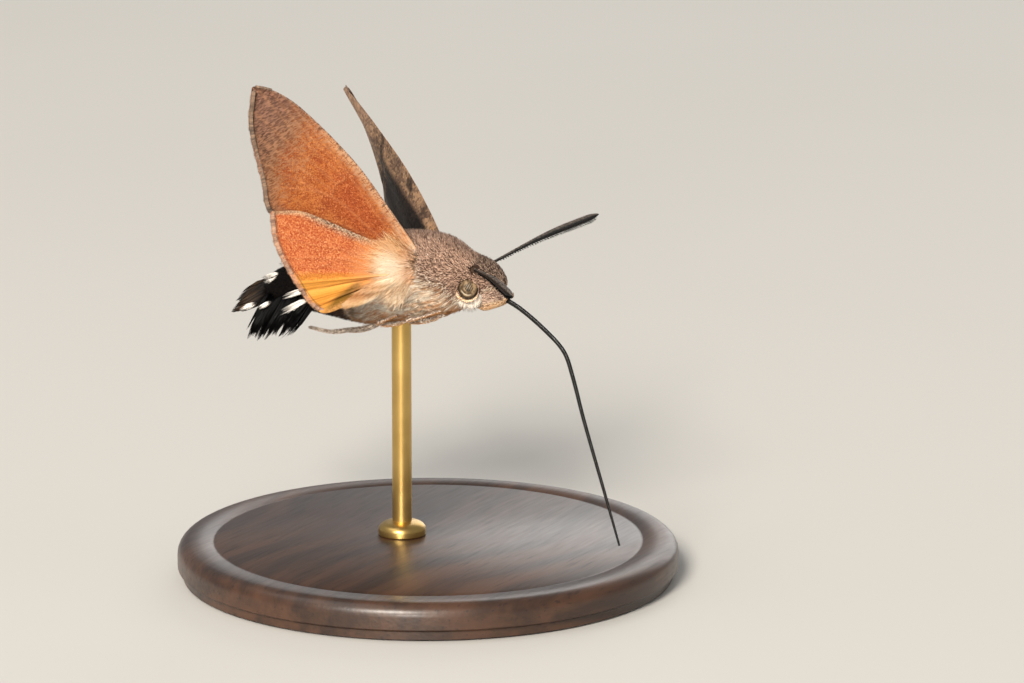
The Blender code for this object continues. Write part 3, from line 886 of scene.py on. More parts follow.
def tuft_spines(lobe, count, points, ragged, locks, seed):
    """Spines that run along a lobe like the hairs of a brush and gather in a few locks."""
    local = np.random.default_rng(seed)
    angle = local.random(count) * 2 * math.pi
    filled = np.sqrt(local.random(count))
    own = heading(angle) * filled[:, None]
    turn, out = local.random(locks) * 2 * math.pi, np.sqrt(local.random(locks))
    middles = heading(turn) * out[:, None]
    lock = np.argmin(np.linalg.norm(own[:, None] - middles[None], axis=2), axis=1)
    pull = local.uniform(0.45, 0.85, count)
    ends = 1.0 - ragged * (0.55 * local.random(locks)[lock] + 0.45 * local.random(count) ** 1.5)
    spines = []
    for step in range(points):
        gone = step / (points - 1)
        place = own + (middles[lock] * 1.12 - own) * (pull * gone ** 1.5)[:, None]
        turn = np.arctan2(place[:, 1], place[:, 0])
        spines.append(lobe_point(lobe, ends * gone, turn, np.hypot(*place.T)))
    return np.stack(spines, axis=1), lock


def palp_design(wire):
    place = attribute(wire, "place")
    tint = kept_number(wire, "tint")
    below = split(attribute(wire, "marking"))[1]
    top = mix(between(tint + noise(place, 2.5) * 0.7, 0.55, 1.25), "6E5042", "F0D0B8")
    # the underside: pale cream scales, with orange that is a painted warm reflection
    low = mix(tint, "E2A262", "FBE0BC")
    return {"Base Color": mix(between(below + (tint - 0.5) * 0.5, 0.1, 0.5), top, low)}


palp_finish = material("palp_scales", palp_design, Roughness=0.65, Specular_IOR_Level=0.25)
for side, sign in SIDES.items():
    places = spread(PALP_SCALES, 11)
    share, angle = places[:, 0] * 0.86 + 0.12, places[:, 1] * 2 * math.pi
    lobe = PALPS[side]
    length = rng.uniform(0.06, 0.11, len(share))
    spines = []
    for step in (0, 1, 2):
        shrink = 0.17 - 0.085 * step * (1 + 0.3 * rng.random(len(share)))
        spines.append(lobe_point(lobe, share + length * step, angle, 1.0, shrink))
    spines = np.stack(spines, axis=1)
    spines[:, :, 0] = np.minimum(spines[:, :, 0], PALP_FRONT)
    centre = lobe_point(lobe, share, angle, 0.0)
    up = unit(spines[:, 0] - centre)
    keep = mirrored(spines[:, 0])[:, 1] > 0.3
    keep &= eye_distance(spines[:, 1]) > 1.03
    lower = -up[:, 2]
    marks = np.column_stack([spines[:, 0, 0], lower - 0.45, lower])
    flat_place = np.column_stack([places[:, 0] * 0.2 + (0.05 if sign > 0 else 0.3), places[:, 1] * 0.2])
    spikes(f"palp_scales_{side}", spines[keep], 0.09, up[keep], marks[keep],
           rng.random(keep.sum()), palp_finish, flat_place[keep])

# %% [markdown]
# Loose tufts: white ones along the abdomen, dense black brushes that flare from its last
# segments, and the broad blades of the tail fan. They are brushes of the same spikes, filling a
# lobe.

# %% Tufts and tail
SIDE_TUFTS = 3
BLACK_HAIRS, TAIL_HAIRS, WHITE_HAIRS = 650, 2600, 260


def plain_fur(name, dark, light, rough=0.6, shine=0.3, root=0.35, fade=(0.4, 0.08), root_shade_colour="0A0808"):
    """A fur of one hue: dark and light hairs with painted shade that darkens them near the root, as fade
    says.
    """
    def design(wire):
        tint, along = hair_numbers(wire)
        return {"Base Color": mix(between(along, *fade) * root, mix(tint, dark, light), root_shade_colour)}
    return material(name, design, Roughness=rough, Specular_IOR_Level=shine)


black_finish = plain_fur("black_tufts", "020202", "0B0A0B", 0.42, 0.14)
white_finish = plain_fur("white_tufts", "D8CCC0", "FFFDF8")
tail_finish = plain_fur("tail_blades", "060505", "64503F", 0.5, 0.14, 0.96, (0.95, 0.19))


def rolled(point, x):
    """A point given by its place beside the abdomen's axis, turned as the section at x is."""
    _, middle, _, turn = section(x)
    y = point[1] * math.cos(turn) - point[2] * math.sin(turn)
    z = point[1] * math.sin(turn) + point[2] * math.cos(turn)
    return np.array((point[0], y, z + middle))


def brush(name, lobes, count, width, finish, nodes, ragged, seed, locks, flat=0.45):
    """One piece of several lobes' hairs."""
    local = np.random.default_rng(seed)
    spines, tints, ups = [], [], []
    for number, lobe in enumerate(lobes):
        own, lock = tuft_spines(lobe, count, 4, ragged, locks, seed + number)
        spines.append(own)
        tints.append(np.clip(local.random(locks)[lock] * 0.6 + local.random(count) * 0.4, 0, 1))
        ups.append(unit(own[:, -1] - lobe_point(lobe, np.full(count, 0.6), np.zeros(count), 0.0) + 1e-3))
    spines, tints, ups = (np.concatenate(part) for part in (spines, tints, ups))
    roots = spines[:, 0]
    spikes(name, spines, width * local.uniform(0.7, 1.3, len(spines)), ups, marking(roots), tints,
           finish, unrolled(roots), nodes, flat, plump=(1.0, 0.85))


for side, sign in SIDES.items():
    lobes = []
    for number in np.linspace(0.0, SIDE_TUFTS - 0.75, 6):
        x, out, z = -9.0 - 2.0 * number, 2.1 - 0.25 * number, -0.1 - 0.35 * (number % 1.0)
        tip = (x - 1.5, sign * (out + 3.9 - 0.5 * (number % 1.0)), z - 3.3)
        lobes.append((rolled((x, sign * out, z), x), rolled(tip, x), (1, 0, 0), TUFT_ROWS))
    nodes = [f"side_tuft_{side}_{number + 1}" for number in range(SIDE_TUFTS)]
    brush(f"black_tufts_{side}", lobes, BLACK_HAIRS, 0.105, black_finish, nodes,
          ragged=0.62, seed=30, locks=12)

tail_across = (0, math.cos(TAIL_TWIST), math.sin(TAIL_TWIST))
tail_lobe = ((-14.0, 0.0, -1.9), (-18.3, 0.0, -3.7), tail_across, TAIL_ROWS)
brush("tail_blades", [tail_lobe], TAIL_HAIRS, 0.13, tail_finish, ["tail_fan"],
      ragged=0.55, seed=40, locks=34, flat=0.3)

WHITE_ROWS = ((0, 0.15, 0.15), (0.4, 0.42, 0.36), (0.8, 0.6, 0.36), (1, 0.5, 0.3))
WHITE_TUFTS = (
    ((-9.0, -3.0, -1.05), (-11.4, -4.1, -1.95), 0.85),
    ((-8.9, -3.3, -2.0), (-11.6, -4.6, -3.4), 1.0),
    ((-13.2, -2.95, -2.75), (-14.4, -3.35, -3.5), 0.6),
    ((-15.1, -2.3, -3.2), (-16.7, -2.8, -4.0), 0.75),
    ((-13.2, -0.85, -0.65), (-15.0, -1.5, -1.3), 1.4),
)


def sized(rows, factor):
    return tuple((share, *(value * factor for value in values)) for share, *values in rows)


for side, sign in SIDES.items():
    lobes = []
    for start, end, size in WHITE_TUFTS:
        start, end = (np.array(part) * (1, -sign, 1) for part in (start, end))
        if sign > 0:  # the abdomen is rolled, so its left side stands higher than its right
            start[2] += 0.5 * start[1]
            end[2] += 0.48 * end[1]
        lobes.append((start, end, (0.3, 1, 0), sized(WHITE_ROWS, size)))
    brush(f"white_tufts_{side}", lobes, WHITE_HAIRS, 0.09, white_finish, (),
          ragged=0.7, seed=50, locks=6)

# %% [markdown]
# A ring of short hair frames each eye, paler behind and below. Pale hair falls in locks from the
# cheek, and a few bristles stand out from the crown.

# %% Brows, cheeks and crown
BROW_HAIRS, CHEEK_HAIRS, BRISTLES = 520, 620, 220
cheek_finish = plain_fur("cheek_tufts", "B9A692", "FFF8EE")


def drooping(first, reach, droop, steps):
    """Spines that reach out from their first points and droop more and more."""
    return np.stack([first + reach * t + np.array(droop) * t * t for t in steps], axis=1)


for side, sign in SIDES.items():
    local = np.random.default_rng(55)
    axis = unit((0.2, sign, 0.05))
    ahead = unit(np.array((1, 0, 0)) - axis * axis[0])
    above = np.cross(ahead, axis) * sign
    turn = local.random(BROW_HAIRS) * 2 * math.pi
    ring = ahead * np.cos(turn)[:, None] + above * np.sin(turn)[:, None]
    centre = EYE_PLACE * (1, sign, 1)
    length = local.uniform(0.12, 0.3, BROW_HAIRS)[:, None]
    pale = np.clip(0.55 - np.sin(turn) * 0.6 - np.cos(turn) * 0.45, 0, 1)
    length = length * (0.6 + 0.7 * pale[:, None])
    spines = [centre + ring * 0.94 + axis * 0.12,
              centre + ring * (0.98 + length * 0.5) + axis * 0.34,
              centre + ring * (1.0 + length) + axis * 0.32]
    marks = np.column_stack([np.full(BROW_HAIRS, 2.5), 40 * pale - 14, np.full(BROW_HAIRS, 90.0)])
    spikes(f"brow_{side}", np.stack(spines, axis=1), 0.06, axis, marks,
           local.random(BROW_HAIRS) * 0.7, coat_finish, unrolled(spines[0]))
    turn = local.uniform(math.radians(190), math.radians(350), CHEEK_HAIRS)
    ring = ahead * np.cos(turn)[:, None] + above * np.sin(turn)[:, None]
    lock = np.floor((np.degrees(turn) + local.normal(0, 3, CHEEK_HAIRS)) / 9.0)
    sway = np.sin(lock * 12.9898) * 0.16
    way = unit(ring * 0.6 + axis * 0.26 + np.array((-0.12, 0, -0.8)) + ahead * sway[:, None])
    reach = (local.uniform(0.55, 1.0, CHEEK_HAIRS) * (0.75 + 0.4 * np.abs(np.sin(turn))))[:, None]
    first = centre + ring * local.uniform(0.92, 1.06, CHEEK_HAIRS)[:, None] - axis * 0.25
    spines = drooping(first, way * reach, (0, 0, -0.22), (0, 0.33, 0.67, 1.0))
    spikes(f"cheek_tuft_{side}", spines, 0.045, axis, marking(first),
           local.random(CHEEK_HAIRS), cheek_finish, unrolled(first))
    root_x = local.uniform(6.9, 9.3, BRISTLES)
    root_angle = math.pi / 2 - sign * local.uniform(-0.1, 1.1, BRISTLES)
    first = body_point(root_x, root_angle, -depth_at(root_x))
    lift = body_normal(root_x, root_angle) + (0.45, 0, 0.1) + local.normal(0, 0.2, (BRISTLES, 3))
    reach = local.uniform(0.4, 0.95, BRISTLES)[:, None]
    spines = drooping(first, unit(lift) * reach, (-0.1, 0, 0), (0, 0.5, 1.0))
    spikes(f"crown_bristles_{side}", spines, 0.04, (1.0, 0, 0), marking(first),
           local.random(BRISTLES) * 0.6, coat_finish, unrolled(first))

# %% [markdown]
# A wing is a stiff dry membrane stretched over veins and tiled with scales. It is drawn on its
# own plane as a leading and a trailing edge; a grid is ruled between them, bent and twisted into
# the pose, and a Solidify modifier gives it two skins, so that the upper and the under side can
# have different markings. Numbers kept at each point (how far along and back it lies, how near a
# vein and the edges, and its angle about the hinge) drive the pattern.

# %% Wing outlines and frames
FOREWING_LENGTH = 22.0
HINDWING_LENGTH = 12.8
WING_THICKNESS = 0.13
OUTLINES = {
    "forewing": (
        ((0, -0.014), (0.22, -0.052), (0.48, -0.086), (0.79, -0.082), (0.92, -0.055), (1, -0.007)),
        ((0, 0.08), (0.18, 0.15), (0.36, 0.245), (0.57, 0.31), (0.69, 0.245), (0.9, 0.12), (1, 0.012)),
    ),
    "hindwing": (
        ((-0.12, 0.156), (0.215, 0.117), (0.49, 0.21), (0.72, 0.3), (0.86, 0.367), (1, 0.504)),
        ((-0.12, 0.203), (0.07, 0.305), (0.117, 0.445), (0.14, 0.633), (0.234, 0.766), (0.5, 0.75),
         (0.82, 0.656), (1, 0.531)),
    ),
}
WING_FRAMES = {
    "right": ((1.9, -2.6, 2.9), (-0.508, -0.451, 0.734), (-0.568, -0.465, -0.679), (0, 0)),
    "left": ((2.05, 2.6, 2.1), (-0.695, 0.425, 0.58), (-0.319, 0.541, -0.778), (-38, 27)),
}
WING_DESIGN = {"forewing": (FOREWING_LENGTH, 0.0, 0.45), "hindwing": (HINDWING_LENGTH, 0.8, 0.1)}
HINGE_PLAN = (0.0, 1.9)
HAIR_CENTRE = (1.0, 2.3)


def smooth_route(points, count):
    """Evenly spaced points along a smooth curve through the given ones."""
    points = np.array(points, float)
    before = np.vstack([2 * points[0] - points[1], points[:-1]])
    after = np.vstack([points[1:], 2 * points[-1] - points[-2]])
    tangents = unit((after - before) / 2)
    t = np.linspace(0, 1, 25)[:-1, None]
    fine = []
    for i in range(len(points) - 1):
        start, end = points[i], points[i + 1]
        reach = np.linalg.norm(end - start) / 3
        pull_out, pull_in = start + tangents[i] * reach, end - tangents[i + 1] * reach
        fine.append(start * (1 - t) ** 3 + pull_out * 3 * t * (1 - t) ** 2
                    + pull_in * 3 * t * t * (1 - t) + end * t ** 3)
    fine = np.vstack(fine + [points[-1:]])
    lengths = np.append(0, np.cumsum(np.linalg.norm(np.diff(fine, axis=0), axis=1)))
    wanted = np.linspace(0, lengths[-1], count)
    return read_route(wanted, lengths, fine)


def wing_under(side):
    """The way out of a wing's underside."""
    _, span, chord, _ = WING_FRAMES[side]
    return np.cross(span, chord) if side == "right" else np.cross(chord, span)


def wing_point(side, kind, along, back, share, lift=0.0):
    """From a place on the wing's plane, in millimetres, to the moth's frame."""
    length, offset, camber = WING_DESIGN[kind]
    root, span, chord = (np.array(part) for part in WING_FRAMES[side][:3])
    under = wing_under(side)
    root_turn, tip_turn = (math.radians(turn) for turn in WING_FRAMES[side][3])
    turn = (root_turn + (tip_turn - root_turn) * np.asarray(along) / FOREWING_LENGTH)[..., None]
    backward = chord * np.cos(turn) + under * np.sin(turn)
    down = under * np.cos(turn) - chord * np.sin(turn)
    rise = np.asarray(offset - camber * np.sin(math.pi * share) + lift)[..., None]
    outward = root + span * np.asarray(along)[..., None]
    return outward + backward * np.asarray(back)[..., None] + down * rise


# %% [markdown]
# Veins: a few stout ones at the leading edge, then the branches that reach the outer margin.
# Each is a line on the wing's plane; the membrane is pushed up a little along it and the
# under side's pattern lightens it a little.

# %% Veins
VEINS = {
    "forewing": (
        ((0.0, 0.01), (0.3, -0.035), (0.55, -0.07), (0.72, -0.08)),
        ((0.0, 0.03), (0.25, 0.0), (0.45, -0.03), (0.66, -0.05), (0.86, -0.066)),
        ((0.45, -0.03), (0.7, -0.025), (0.94, -0.04)),
        ((0.45, -0.01), (0.72, 0.005), (0.985, -0.008)),
        ((0.46, 0.03), (0.7, 0.05), (0.93, 0.07)),
        ((0.45, 0.06), (0.66, 0.1), (0.85, 0.13)),
        ((0.43, 0.08), (0.6, 0.14), (0.76, 0.19)),
        ((0.0, 0.045), (0.2, 0.06), (0.43, 0.08), (0.56, 0.16), (0.66, 0.25)),
        ((0.0, 0.055), (0.2, 0.09), (0.36, 0.15), (0.56, 0.27)),
        ((0.0, 0.065), (0.16, 0.115), (0.33, 0.19), (0.52, 0.285)),
        ((0.45, -0.01), (0.46, 0.03), (0.45, 0.06), (0.43, 0.08)),
    ),
    "hindwing": (
        ((-0.1, 0.17), (0.2, 0.16), (0.5, 0.25), (0.8, 0.37), (0.95, 0.46)),
        ((-0.1, 0.175), (0.2, 0.22), (0.42, 0.33), (0.7, 0.45), (0.97, 0.54)),
        ((0.42, 0.33), (0.66, 0.49), (0.88, 0.61)),
        ((0.38, 0.38), (0.55, 0.53), (0.7, 0.68)),
        ((-0.1, 0.18), (0.16, 0.28), (0.38, 0.38), (0.47, 0.55), (0.56, 0.73)),
        ((-0.1, 0.19), (0.12, 0.32), (0.28, 0.52), (0.4, 0.75)),
        ((-0.1, 0.195), (0.09, 0.34), (0.2, 0.56), (0.27, 0.75)),
    ),
}


def vein_weight(kind, along, back):
    """1 on a vein and 0 away from it."""
    length = WING_DESIGN[kind][0]
    nearest = np.full(along.shape, 9.0)
    for vein in VEINS[kind]:
        line = smooth_route(np.array(vein) * length, 24)
        for start, end in zip(line, line[1:]):
            step = end - start
            ahead, aside = along - start[0], back - start[1]
            t = np.clip((ahead * step[0] + aside * step[1]) / step.dot(step), 0, 1)
            nearest = np.minimum(nearest, np.hypot(ahead - t * step[0], aside - t * step[1]))
    return np.exp(-(nearest / 0.12) ** 2)


# %% Wing finishes: the scales
def wing_numbers(wire):
    """Along, back, vein, from the leading and from the outer edge, angle about the hinge."""
    along, back, vein = split(attribute(wire, "plan"))
    lead, rim, fan = split(attribute(wire, "edges"))
    return along, back, vein, lead, rim, fan


def scale_grain(wire, along, back, fine, coarse):
    """Rows of scales across the wing: each scale's own shade, and their relief."""
    place = join(wire, along * fine, back * coarse)
    shade = speckle(place, 1.0, 0.7)
    height = 1.0 - cells(place, 1.0, 0, 0.7)
    return shade, relief(height * 0.7 + shade * 0.5, 0.00005)


def under_forewing(wire):
    along, back, vein, lead, rim, _ = wing_numbers(wire)
    plane = join(wire, along, back)
    shade, normal = scale_grain(wire, along - back * 0.27, back, 11.0, 3.3)
    speck = speckle(plane, 12.0)
    broad = noise(plane, 0.5, 3.0)
    orange = mix(between(broad + (speck - 0.5) * 0.6, 0.25, 0.75), "863C18", "AD652E")
    red = band(along, 4.0, 11.0, 3.0) * band(lead, 1.0, 4.0, 1.0)
    orange = mix(red * 0.6, orange, mix(speck, "7B2D11", "A44921"))
    orange = mix(between(speck, 0.84, 0.95) * 0.35, orange, "D08A5A")
    orange = mix(between(speck, 0.16, 0.06) * 0.4, orange, "6A2810")
    brown = mix(between(shade * 0.8 + broad * 0.2, 0.15, 0.9), "52382A", "966B4D")
    tip = between(along, 15, 20)
    brown = mix(tip * 0.6, brown, mix(shade, "4E342C", "846054"))
    near_rim = between(rim + (broad - 0.5) * 0.8 + (shade - 0.5) * 0.5, 1.6, 0.7) * between(along, 6, 11)
    outer = between(along + lead * 0.35 + (broad - 0.5) * 4.0 + (shade - 0.5) * 2.6, 13.6, 18.6)
    outer = wire.math("MAXIMUM", outer, near_rim * 0.8)
    colour = mix(outer, orange, brown)
    pale = mix(between(shade + speck * 0.5, 0.3, 0.9), "895C3C", "CDAB88")
    coast = between(lead + (speck - 0.5) * 0.5, 1.05, 0.25) * between(along, 17.5, 12.0)
    colour = mix(coast * 0.6, colour, pale)
    line = noise(join(wire, along * 0.35, lead * 5.0), 1.2, 2.0)
    colour = mix(between(line, 0.58, 0.66) * between(lead, 1.6, 0.1) * 0.6, colour, "503427")
    base = between(along, 4.5, 0.5)
    colour = mix(base * 0.6, colour, mix(between(line, 0.4, 0.6), "D4884C", "E3C5A4"))
    colour = mix(vein * 0.12, colour, "D6996A")
    colour = mix(band(rim, 0.46, 0.52, 0.05) * 0.45, colour, "503B33")
    colour = mix(between(rim, 0.34, 0.26) * 0.8, colour, mix(shade, "6D4E3F", "A47F6B"))
    tick = noise(join(wire, along * 1.5, 0.0), 1.0, 1.0)
    colour = mix(between(tick, 0.6, 0.66) * between(lead, 0.55, 0.2) * 0.7, colour, "33261E")
    edge = between(lead, 0.16, 0.05) * between(along, 2.0, 4.0)
    colour = mix(edge * 0.7, colour, mix(between(speck, 0.3, 0.6), "44332D", "B2927B"))
    colour = mix(between(along, 2.4, 0.4) * 0.85, colour, mix(between(line, 0.4, 0.6), "E3B88E", "F0DAC2"))
    # painted shade: fine dark streaks between the long hair-scales at the wing's base
    scale_shadow = noise(join(wire, along * 0.8, back * 7.0), 1.0, 2.0)
    colour = mix(between(scale_shadow, 0.6, 0.68) * between(along, 4.6, 3.0) * 0.45, colour, "6E4630")
    return {"Base Color": colour, "Normal": normal}


def under_hindwing(wire):
    along, back, vein, lead, rim, fan = wing_numbers(wire)
    plane = join(wire, along, back)
    speck = speckle(plane, 12.0)
    height = 1.0 - cells(plane, 12.0)
    broad = noise(plane, 0.7, 3.0)
    spots = noise(plane, 9.0, 1.0)
    tone = between(spots * 0.8 + speck * 0.5, 0.35, 0.95)
    orange = mix(tone, "923313", "C87946")
    orange = mix(between(broad, 0.5, 0.7) * 0.35, orange, "C87446")
    orange = mix(between(speck, 0.86, 0.96) * 0.35, orange, "D9A77A")
    ray = noise(join(wire, fan * 0.22, along * 0.06), 1.5, 2.0)
    gold = mix(between(ray, 0.25, 0.75), "D0842E", "E09E48")
    gold = mix(between(speck, 0.7, 1.0) * 0.2, gold, "BA722A")
    colour = mix(between(fan + (speck - 0.5) * 5.0, 42, 50), orange, gold)
    # painted shade in the pleats' folds: olive lines across the gold
    wavy = fan + (broad - 0.5) * 5.0
    fold_shade = band(wavy, 45, 48, 1.6) * 0.7 + band(wavy, 53, 55, 1.2) * 0.3
    colour = mix(between(fold_shade, 0.0, 1.0) * 0.5, colour, "99631A")
    outward = apart(along - HINGE_PLAN[0], back - HINGE_PLAN[1])
    # painted shade: a dark olive band along the upper edge of the hair lobe
    shade = band(fan - (outward - 4.0) * 4.0 + (broad - 0.5) * 4.0, 54, 66, 3.0)
    shade = shade * between(outward, 3.2, 4.6)
    colour = mix(shade * 0.95, colour, mix(ray, "44330A", "82590E"))
    tan = mix(speck, "6E5240", "D2AC84")
    colour = mix(between(lead + (spots - 0.5) * 0.5, 0.5, 0.15) * 0.85, colour, tan)
    grey = mix(between(speck + spots * 0.4, 0.5, 1.15), "3A302A", "C4A68C")
    coast = between(lead + (spots - 0.5) * 1.1, 0.95, 0.2) * between(along, 11.5, 8.0)
    colour = mix(coast * 0.72, colour, grey)
    strand = noise(join(wire, fan * 0.42, along * 0.25), 1.3, 2.0)
    reach = apart(along - HAIR_CENTRE[0], back - HAIR_CENTRE[1])
    warm = between(reach + (strand - 0.5) * 3.4 + (speck - 0.5) * 0.8, 5.2, 1.6)
    colour = mix(warm * 0.8, colour, mix(between(strand, 0.4, 0.6), "CC7F44", "DAA573"))
    # painted highlight: the membrane turns palest cream about the middle of the hair fan
    highlight_spot = between(reach + (strand - 0.5) * 1.8, 2.8, 0.7)
    colour = mix(highlight_spot * 0.6, colour, mix(speck, "E6BA84", "F4DCB8"))
    colour = mix(vein * 0.06, colour, "DEA97A")
    outer = between(fan, 70, 64) * between(outward, 4.6, 5.6)
    colour = mix(band(rim, 0.46, 0.55, 0.06) * outer * 0.7, colour, "4C4038")
    colour = mix(between(rim, 0.4, 0.3) * outer * 0.85, colour, mix(speck, "92664E", "BF8F73"))
    lobe = between(fan + (speck - 0.5) * 3.0, 68, 74)
    colour = mix(lobe, colour, mix(between(back, 4.0, 7.0), "E0C7A7", "C99052"))
    pleat = noise(join(wire, fan * 0.35, 0.0), 1.0, 1.0) * between(fan, 40, 52)
    return {"Base Color": colour, "Normal": relief(height * 0.25 + pleat * 3.0, 0.00012)}


def upper_forewing(wire):
    along, back, _, lead, rim, _ = wing_numbers(wire)
    plane = join(wire, along, back)
    shade, normal = scale_grain(wire, along, back, 6.0, 3.4)
    wobble = (noise(plane, 0.9, 2.0) - 0.5) * 2.4
    broad = noise(plane, 0.45, 3.0)
    share = lead / (lead + rim + 0.01)
    grey = mix(between(shade * 0.5 + broad * 0.8, 0.4, 1.0), "4E3C32", "937459")
    grey = mix(between(along, 14.0, 17.5) * 0.55, grey, mix(shade, "866855", "BA977C"))
    streak = noise(join(wire, along * 0.5, back * 4.0), 1.0, 2.0)
    grey = mix(between(streak, 0.55, 0.7) * 0.35, grey, "5A4438")
    s = along + wobble * 0.4 + lead * 0.25
    dark = mix(shade, "0E0B0A", "2C221D")
    bands = band(s, 4.6, 5.6, 0.5) * 0.55 + band(s, 7.9, 8.8, 0.25) * band(share, 0.04, 0.2, 0.05)
    bands = bands + band(s, 13.6, 14.2, 0.3) * 0.9 + band(s, 2.0, 2.6, 0.4) * 0.6
    bands = bands + band(s, 16.3, 16.6, 0.3) * 0.4
    colour = mix(between(bands, 0.0, 1.0) * 0.85, grey, dark)
    # painted shadow: near-black over the rear of the upper side, ending towards the tip
    edge = 0.29 + between(along, 13.0, 17.0) * 0.85
    rear = between(share - edge + wobble * 0.03 + (shade - 0.5) * 0.06, -0.04, 0.05)
    rear = rear * between(s + (shade - 0.5) * 1.2, 15.4, 12.6)
    colour = mix(rear * 0.95, colour, mix(shade, "050404", "181313"))
    colour = mix(between(rim, 0.6, 0.25) * 0.6, colour, mix(shade, "4C4039", "8E7F74"))
    return {"Base Color": colour, "Normal": normal}


def upper_hindwing(wire):
    along, back, _, _, rim, _ = wing_numbers(wire)
    plane = join(wire, along, back)
    shade, normal = scale_grain(wire, along, back, 5.6, 4.0)
    broad = noise(plane, 0.6, 3.0)
    orange = mix(between(shade * 0.5 + broad * 0.8, 0.35, 0.9), "D2731C", "F2A23E")
    root = between(along + back * 0.25, 4.6, 1.6)
    colour = mix(root * 0.85, orange, mix(shade, "2A1D16", "6A4A34"))
    margin = between(rim + (broad - 0.5) * 0.8, 1.5, 0.7)
    colour = mix(margin * 0.85, colour, mix(shade, "4A2E1E", "7E5436"))
    colour = mix(between(rim, 0.4, 0.3) * 0.7, colour, mix(shade, "A07C64", "D0AA90"))
    return {"Base Color": colour, "Normal": normal}


WING_FACES = {
    "forewing": {"under": under_forewing, "upper": upper_forewing},
    "hindwing": {"under": under_hindwing, "upper": upper_hindwing},
}
WING_FINISHES = {kind: [] for kind in WING_FACES}
for kind, faces in WING_FACES.items():
    for face, design in faces.items():
        finish = material(f"{kind}_{face}", design, Roughness=0.62, Specular_IOR_Level=0.2)
        WING_FINISHES[kind].append(finish)

# %% Wings
WING_GRID = {"forewing": (230, 80), "hindwing": (150, 100)}
EDGE_POINTS = 401


def wing_plan(kind, row_share, share):
    """Places on the wing's plane in millimetres, and its two edges as lines."""
    length = WING_DESIGN[kind][0]
    lead, trail = (smooth_route(np.array(edge) * length, EDGE_POINTS) for edge in OUTLINES[kind])
    steps = np.linspace(0, 1, EDGE_POINTS)
    start, end = (read_route(row_share, steps, edge) for edge in (lead, trail))
    return start + (end - start) * np.asarray(share)[..., None], lead, trail


def edge_distance(flat, line):
    nearest = np.full(len(flat), 99.0)
    for start, end in zip(line[::4], line[4::4]):
        step = end - start
        t = np.clip(((flat - start) @ step) / step.dot(step), 0, 1)
        nearest = np.minimum(nearest, np.linalg.norm(flat - start - t[:, None] * step, axis=1))
    return nearest


def build_wing(kind, side):
    rows, columns = WING_GRID[kind]
    sheet = bmesh.new()
    bmesh.ops.create_grid(sheet, x_segments=rows, y_segments=columns, size=1.0)
    spots = np.array([v.co[:2] for v in sheet.verts])
    row_share, share = (spots[:, 0] + 1) / 2, (spots[:, 1] + 1) / 2
    flat, lead, trail = wing_plan(kind, row_share, share)
    vein = vein_weight(kind, flat[:, 0], flat[:, 1])
    fan = np.degrees(np.arctan2(flat[:, 1] - HINGE_PLAN[1], np.maximum(flat[:, 0], -4.0)))
    lift = 0.04 * vein
    if kind == "hindwing":
        pleats = 0.10 * np.sin(fan * 0.55) * np.clip((fan - 38) / 12, 0, 1)
        lift = lift + pleats * np.clip(flat[:, 1] / 5, 0, 1)
        lift = lift + 0.28 * np.exp(-((fan - 49) / 3.2) ** 2) * np.clip(flat[:, 1] / 6, 0, 1)
    else:
        ripples = 0.06 * np.sin(flat[:, 1] * 2.1 + flat[:, 0] * 0.3)
        lift = lift + ripples * np.clip(flat[:, 0] / 8, 0, 1)
    sink = 3.0 if kind == "hindwing" else 1.4
    lift = lift - sink * np.clip((1.2 - flat[:, 0]) / 2.4, 0, 1) ** 2
    places = wing_point(side, kind, flat[:, 0], flat[:, 1], share, lift)
    for vertex, place in zip(sheet.verts, places):
        vertex.co = Vector(place)
    sheet.normal_update()
    facing = sum((face.normal for face in list(sheet.faces)[::97]), Vector())
    if facing.dot(Vector(wing_under(side))) < 0:
        bmesh.ops.reverse_faces(sheet, faces=sheet.faces)
    name = f"scaled_{kind}_{side}"
    mesh = as_mesh(name, sheet)
    keep_values(mesh, "plan", np.column_stack([flat, vein]))
    edges = np.column_stack([edge_distance(flat, lead), edge_distance(flat, trail), fan])
    keep_values(mesh, "edges", edges)
    mesh.transform(TO_FRAME)
    wing = finish_piece(name, mesh, WING_FINISHES[kind], [f"{kind}_{side}"])
    group = wing.vertex_groups.new(name="thick")
    taper = np.clip(np.minimum(edges[:, 0], edges[:, 1]) / 0.5, 0.35, 1.0) * (0.75 + 0.25 * vein)
    for index, weight in enumerate(taper):
        group.add([index], float(weight), "REPLACE")
    solid = wing.modifiers.new("two skins", "SOLIDIFY")
    solid.thickness = WING_THICKNESS * MM
    solid.offset = 0.0
    solid.vertex_group = "thick"
    solid.material_offset = 1
    solid.use_even_offset = False


for kind in OUTLINES:
    for side in SIDES:
        build_wing(kind, side)

# %% [markdown]
# A fan of long pale hair spreads from the hinge over the underside of both wings, and a thick
# lobe of it lies along the hindwing's inner edge. The hairs are laid on the wing's own plane, so
# that they follow its bend, and rise a little towards their tips. A cuff of hair bridges the gap
# from the hindwing's base to the body.

# %% Hair on the wings' bases
HAIR_ORIGIN = np.array((-0.5, 0.3))
FAN_HAIRS, LOBE_HAIRS, FOREWING_HAIRS, CUFF_HAIRS = 4200, 2800, 1700, 1300


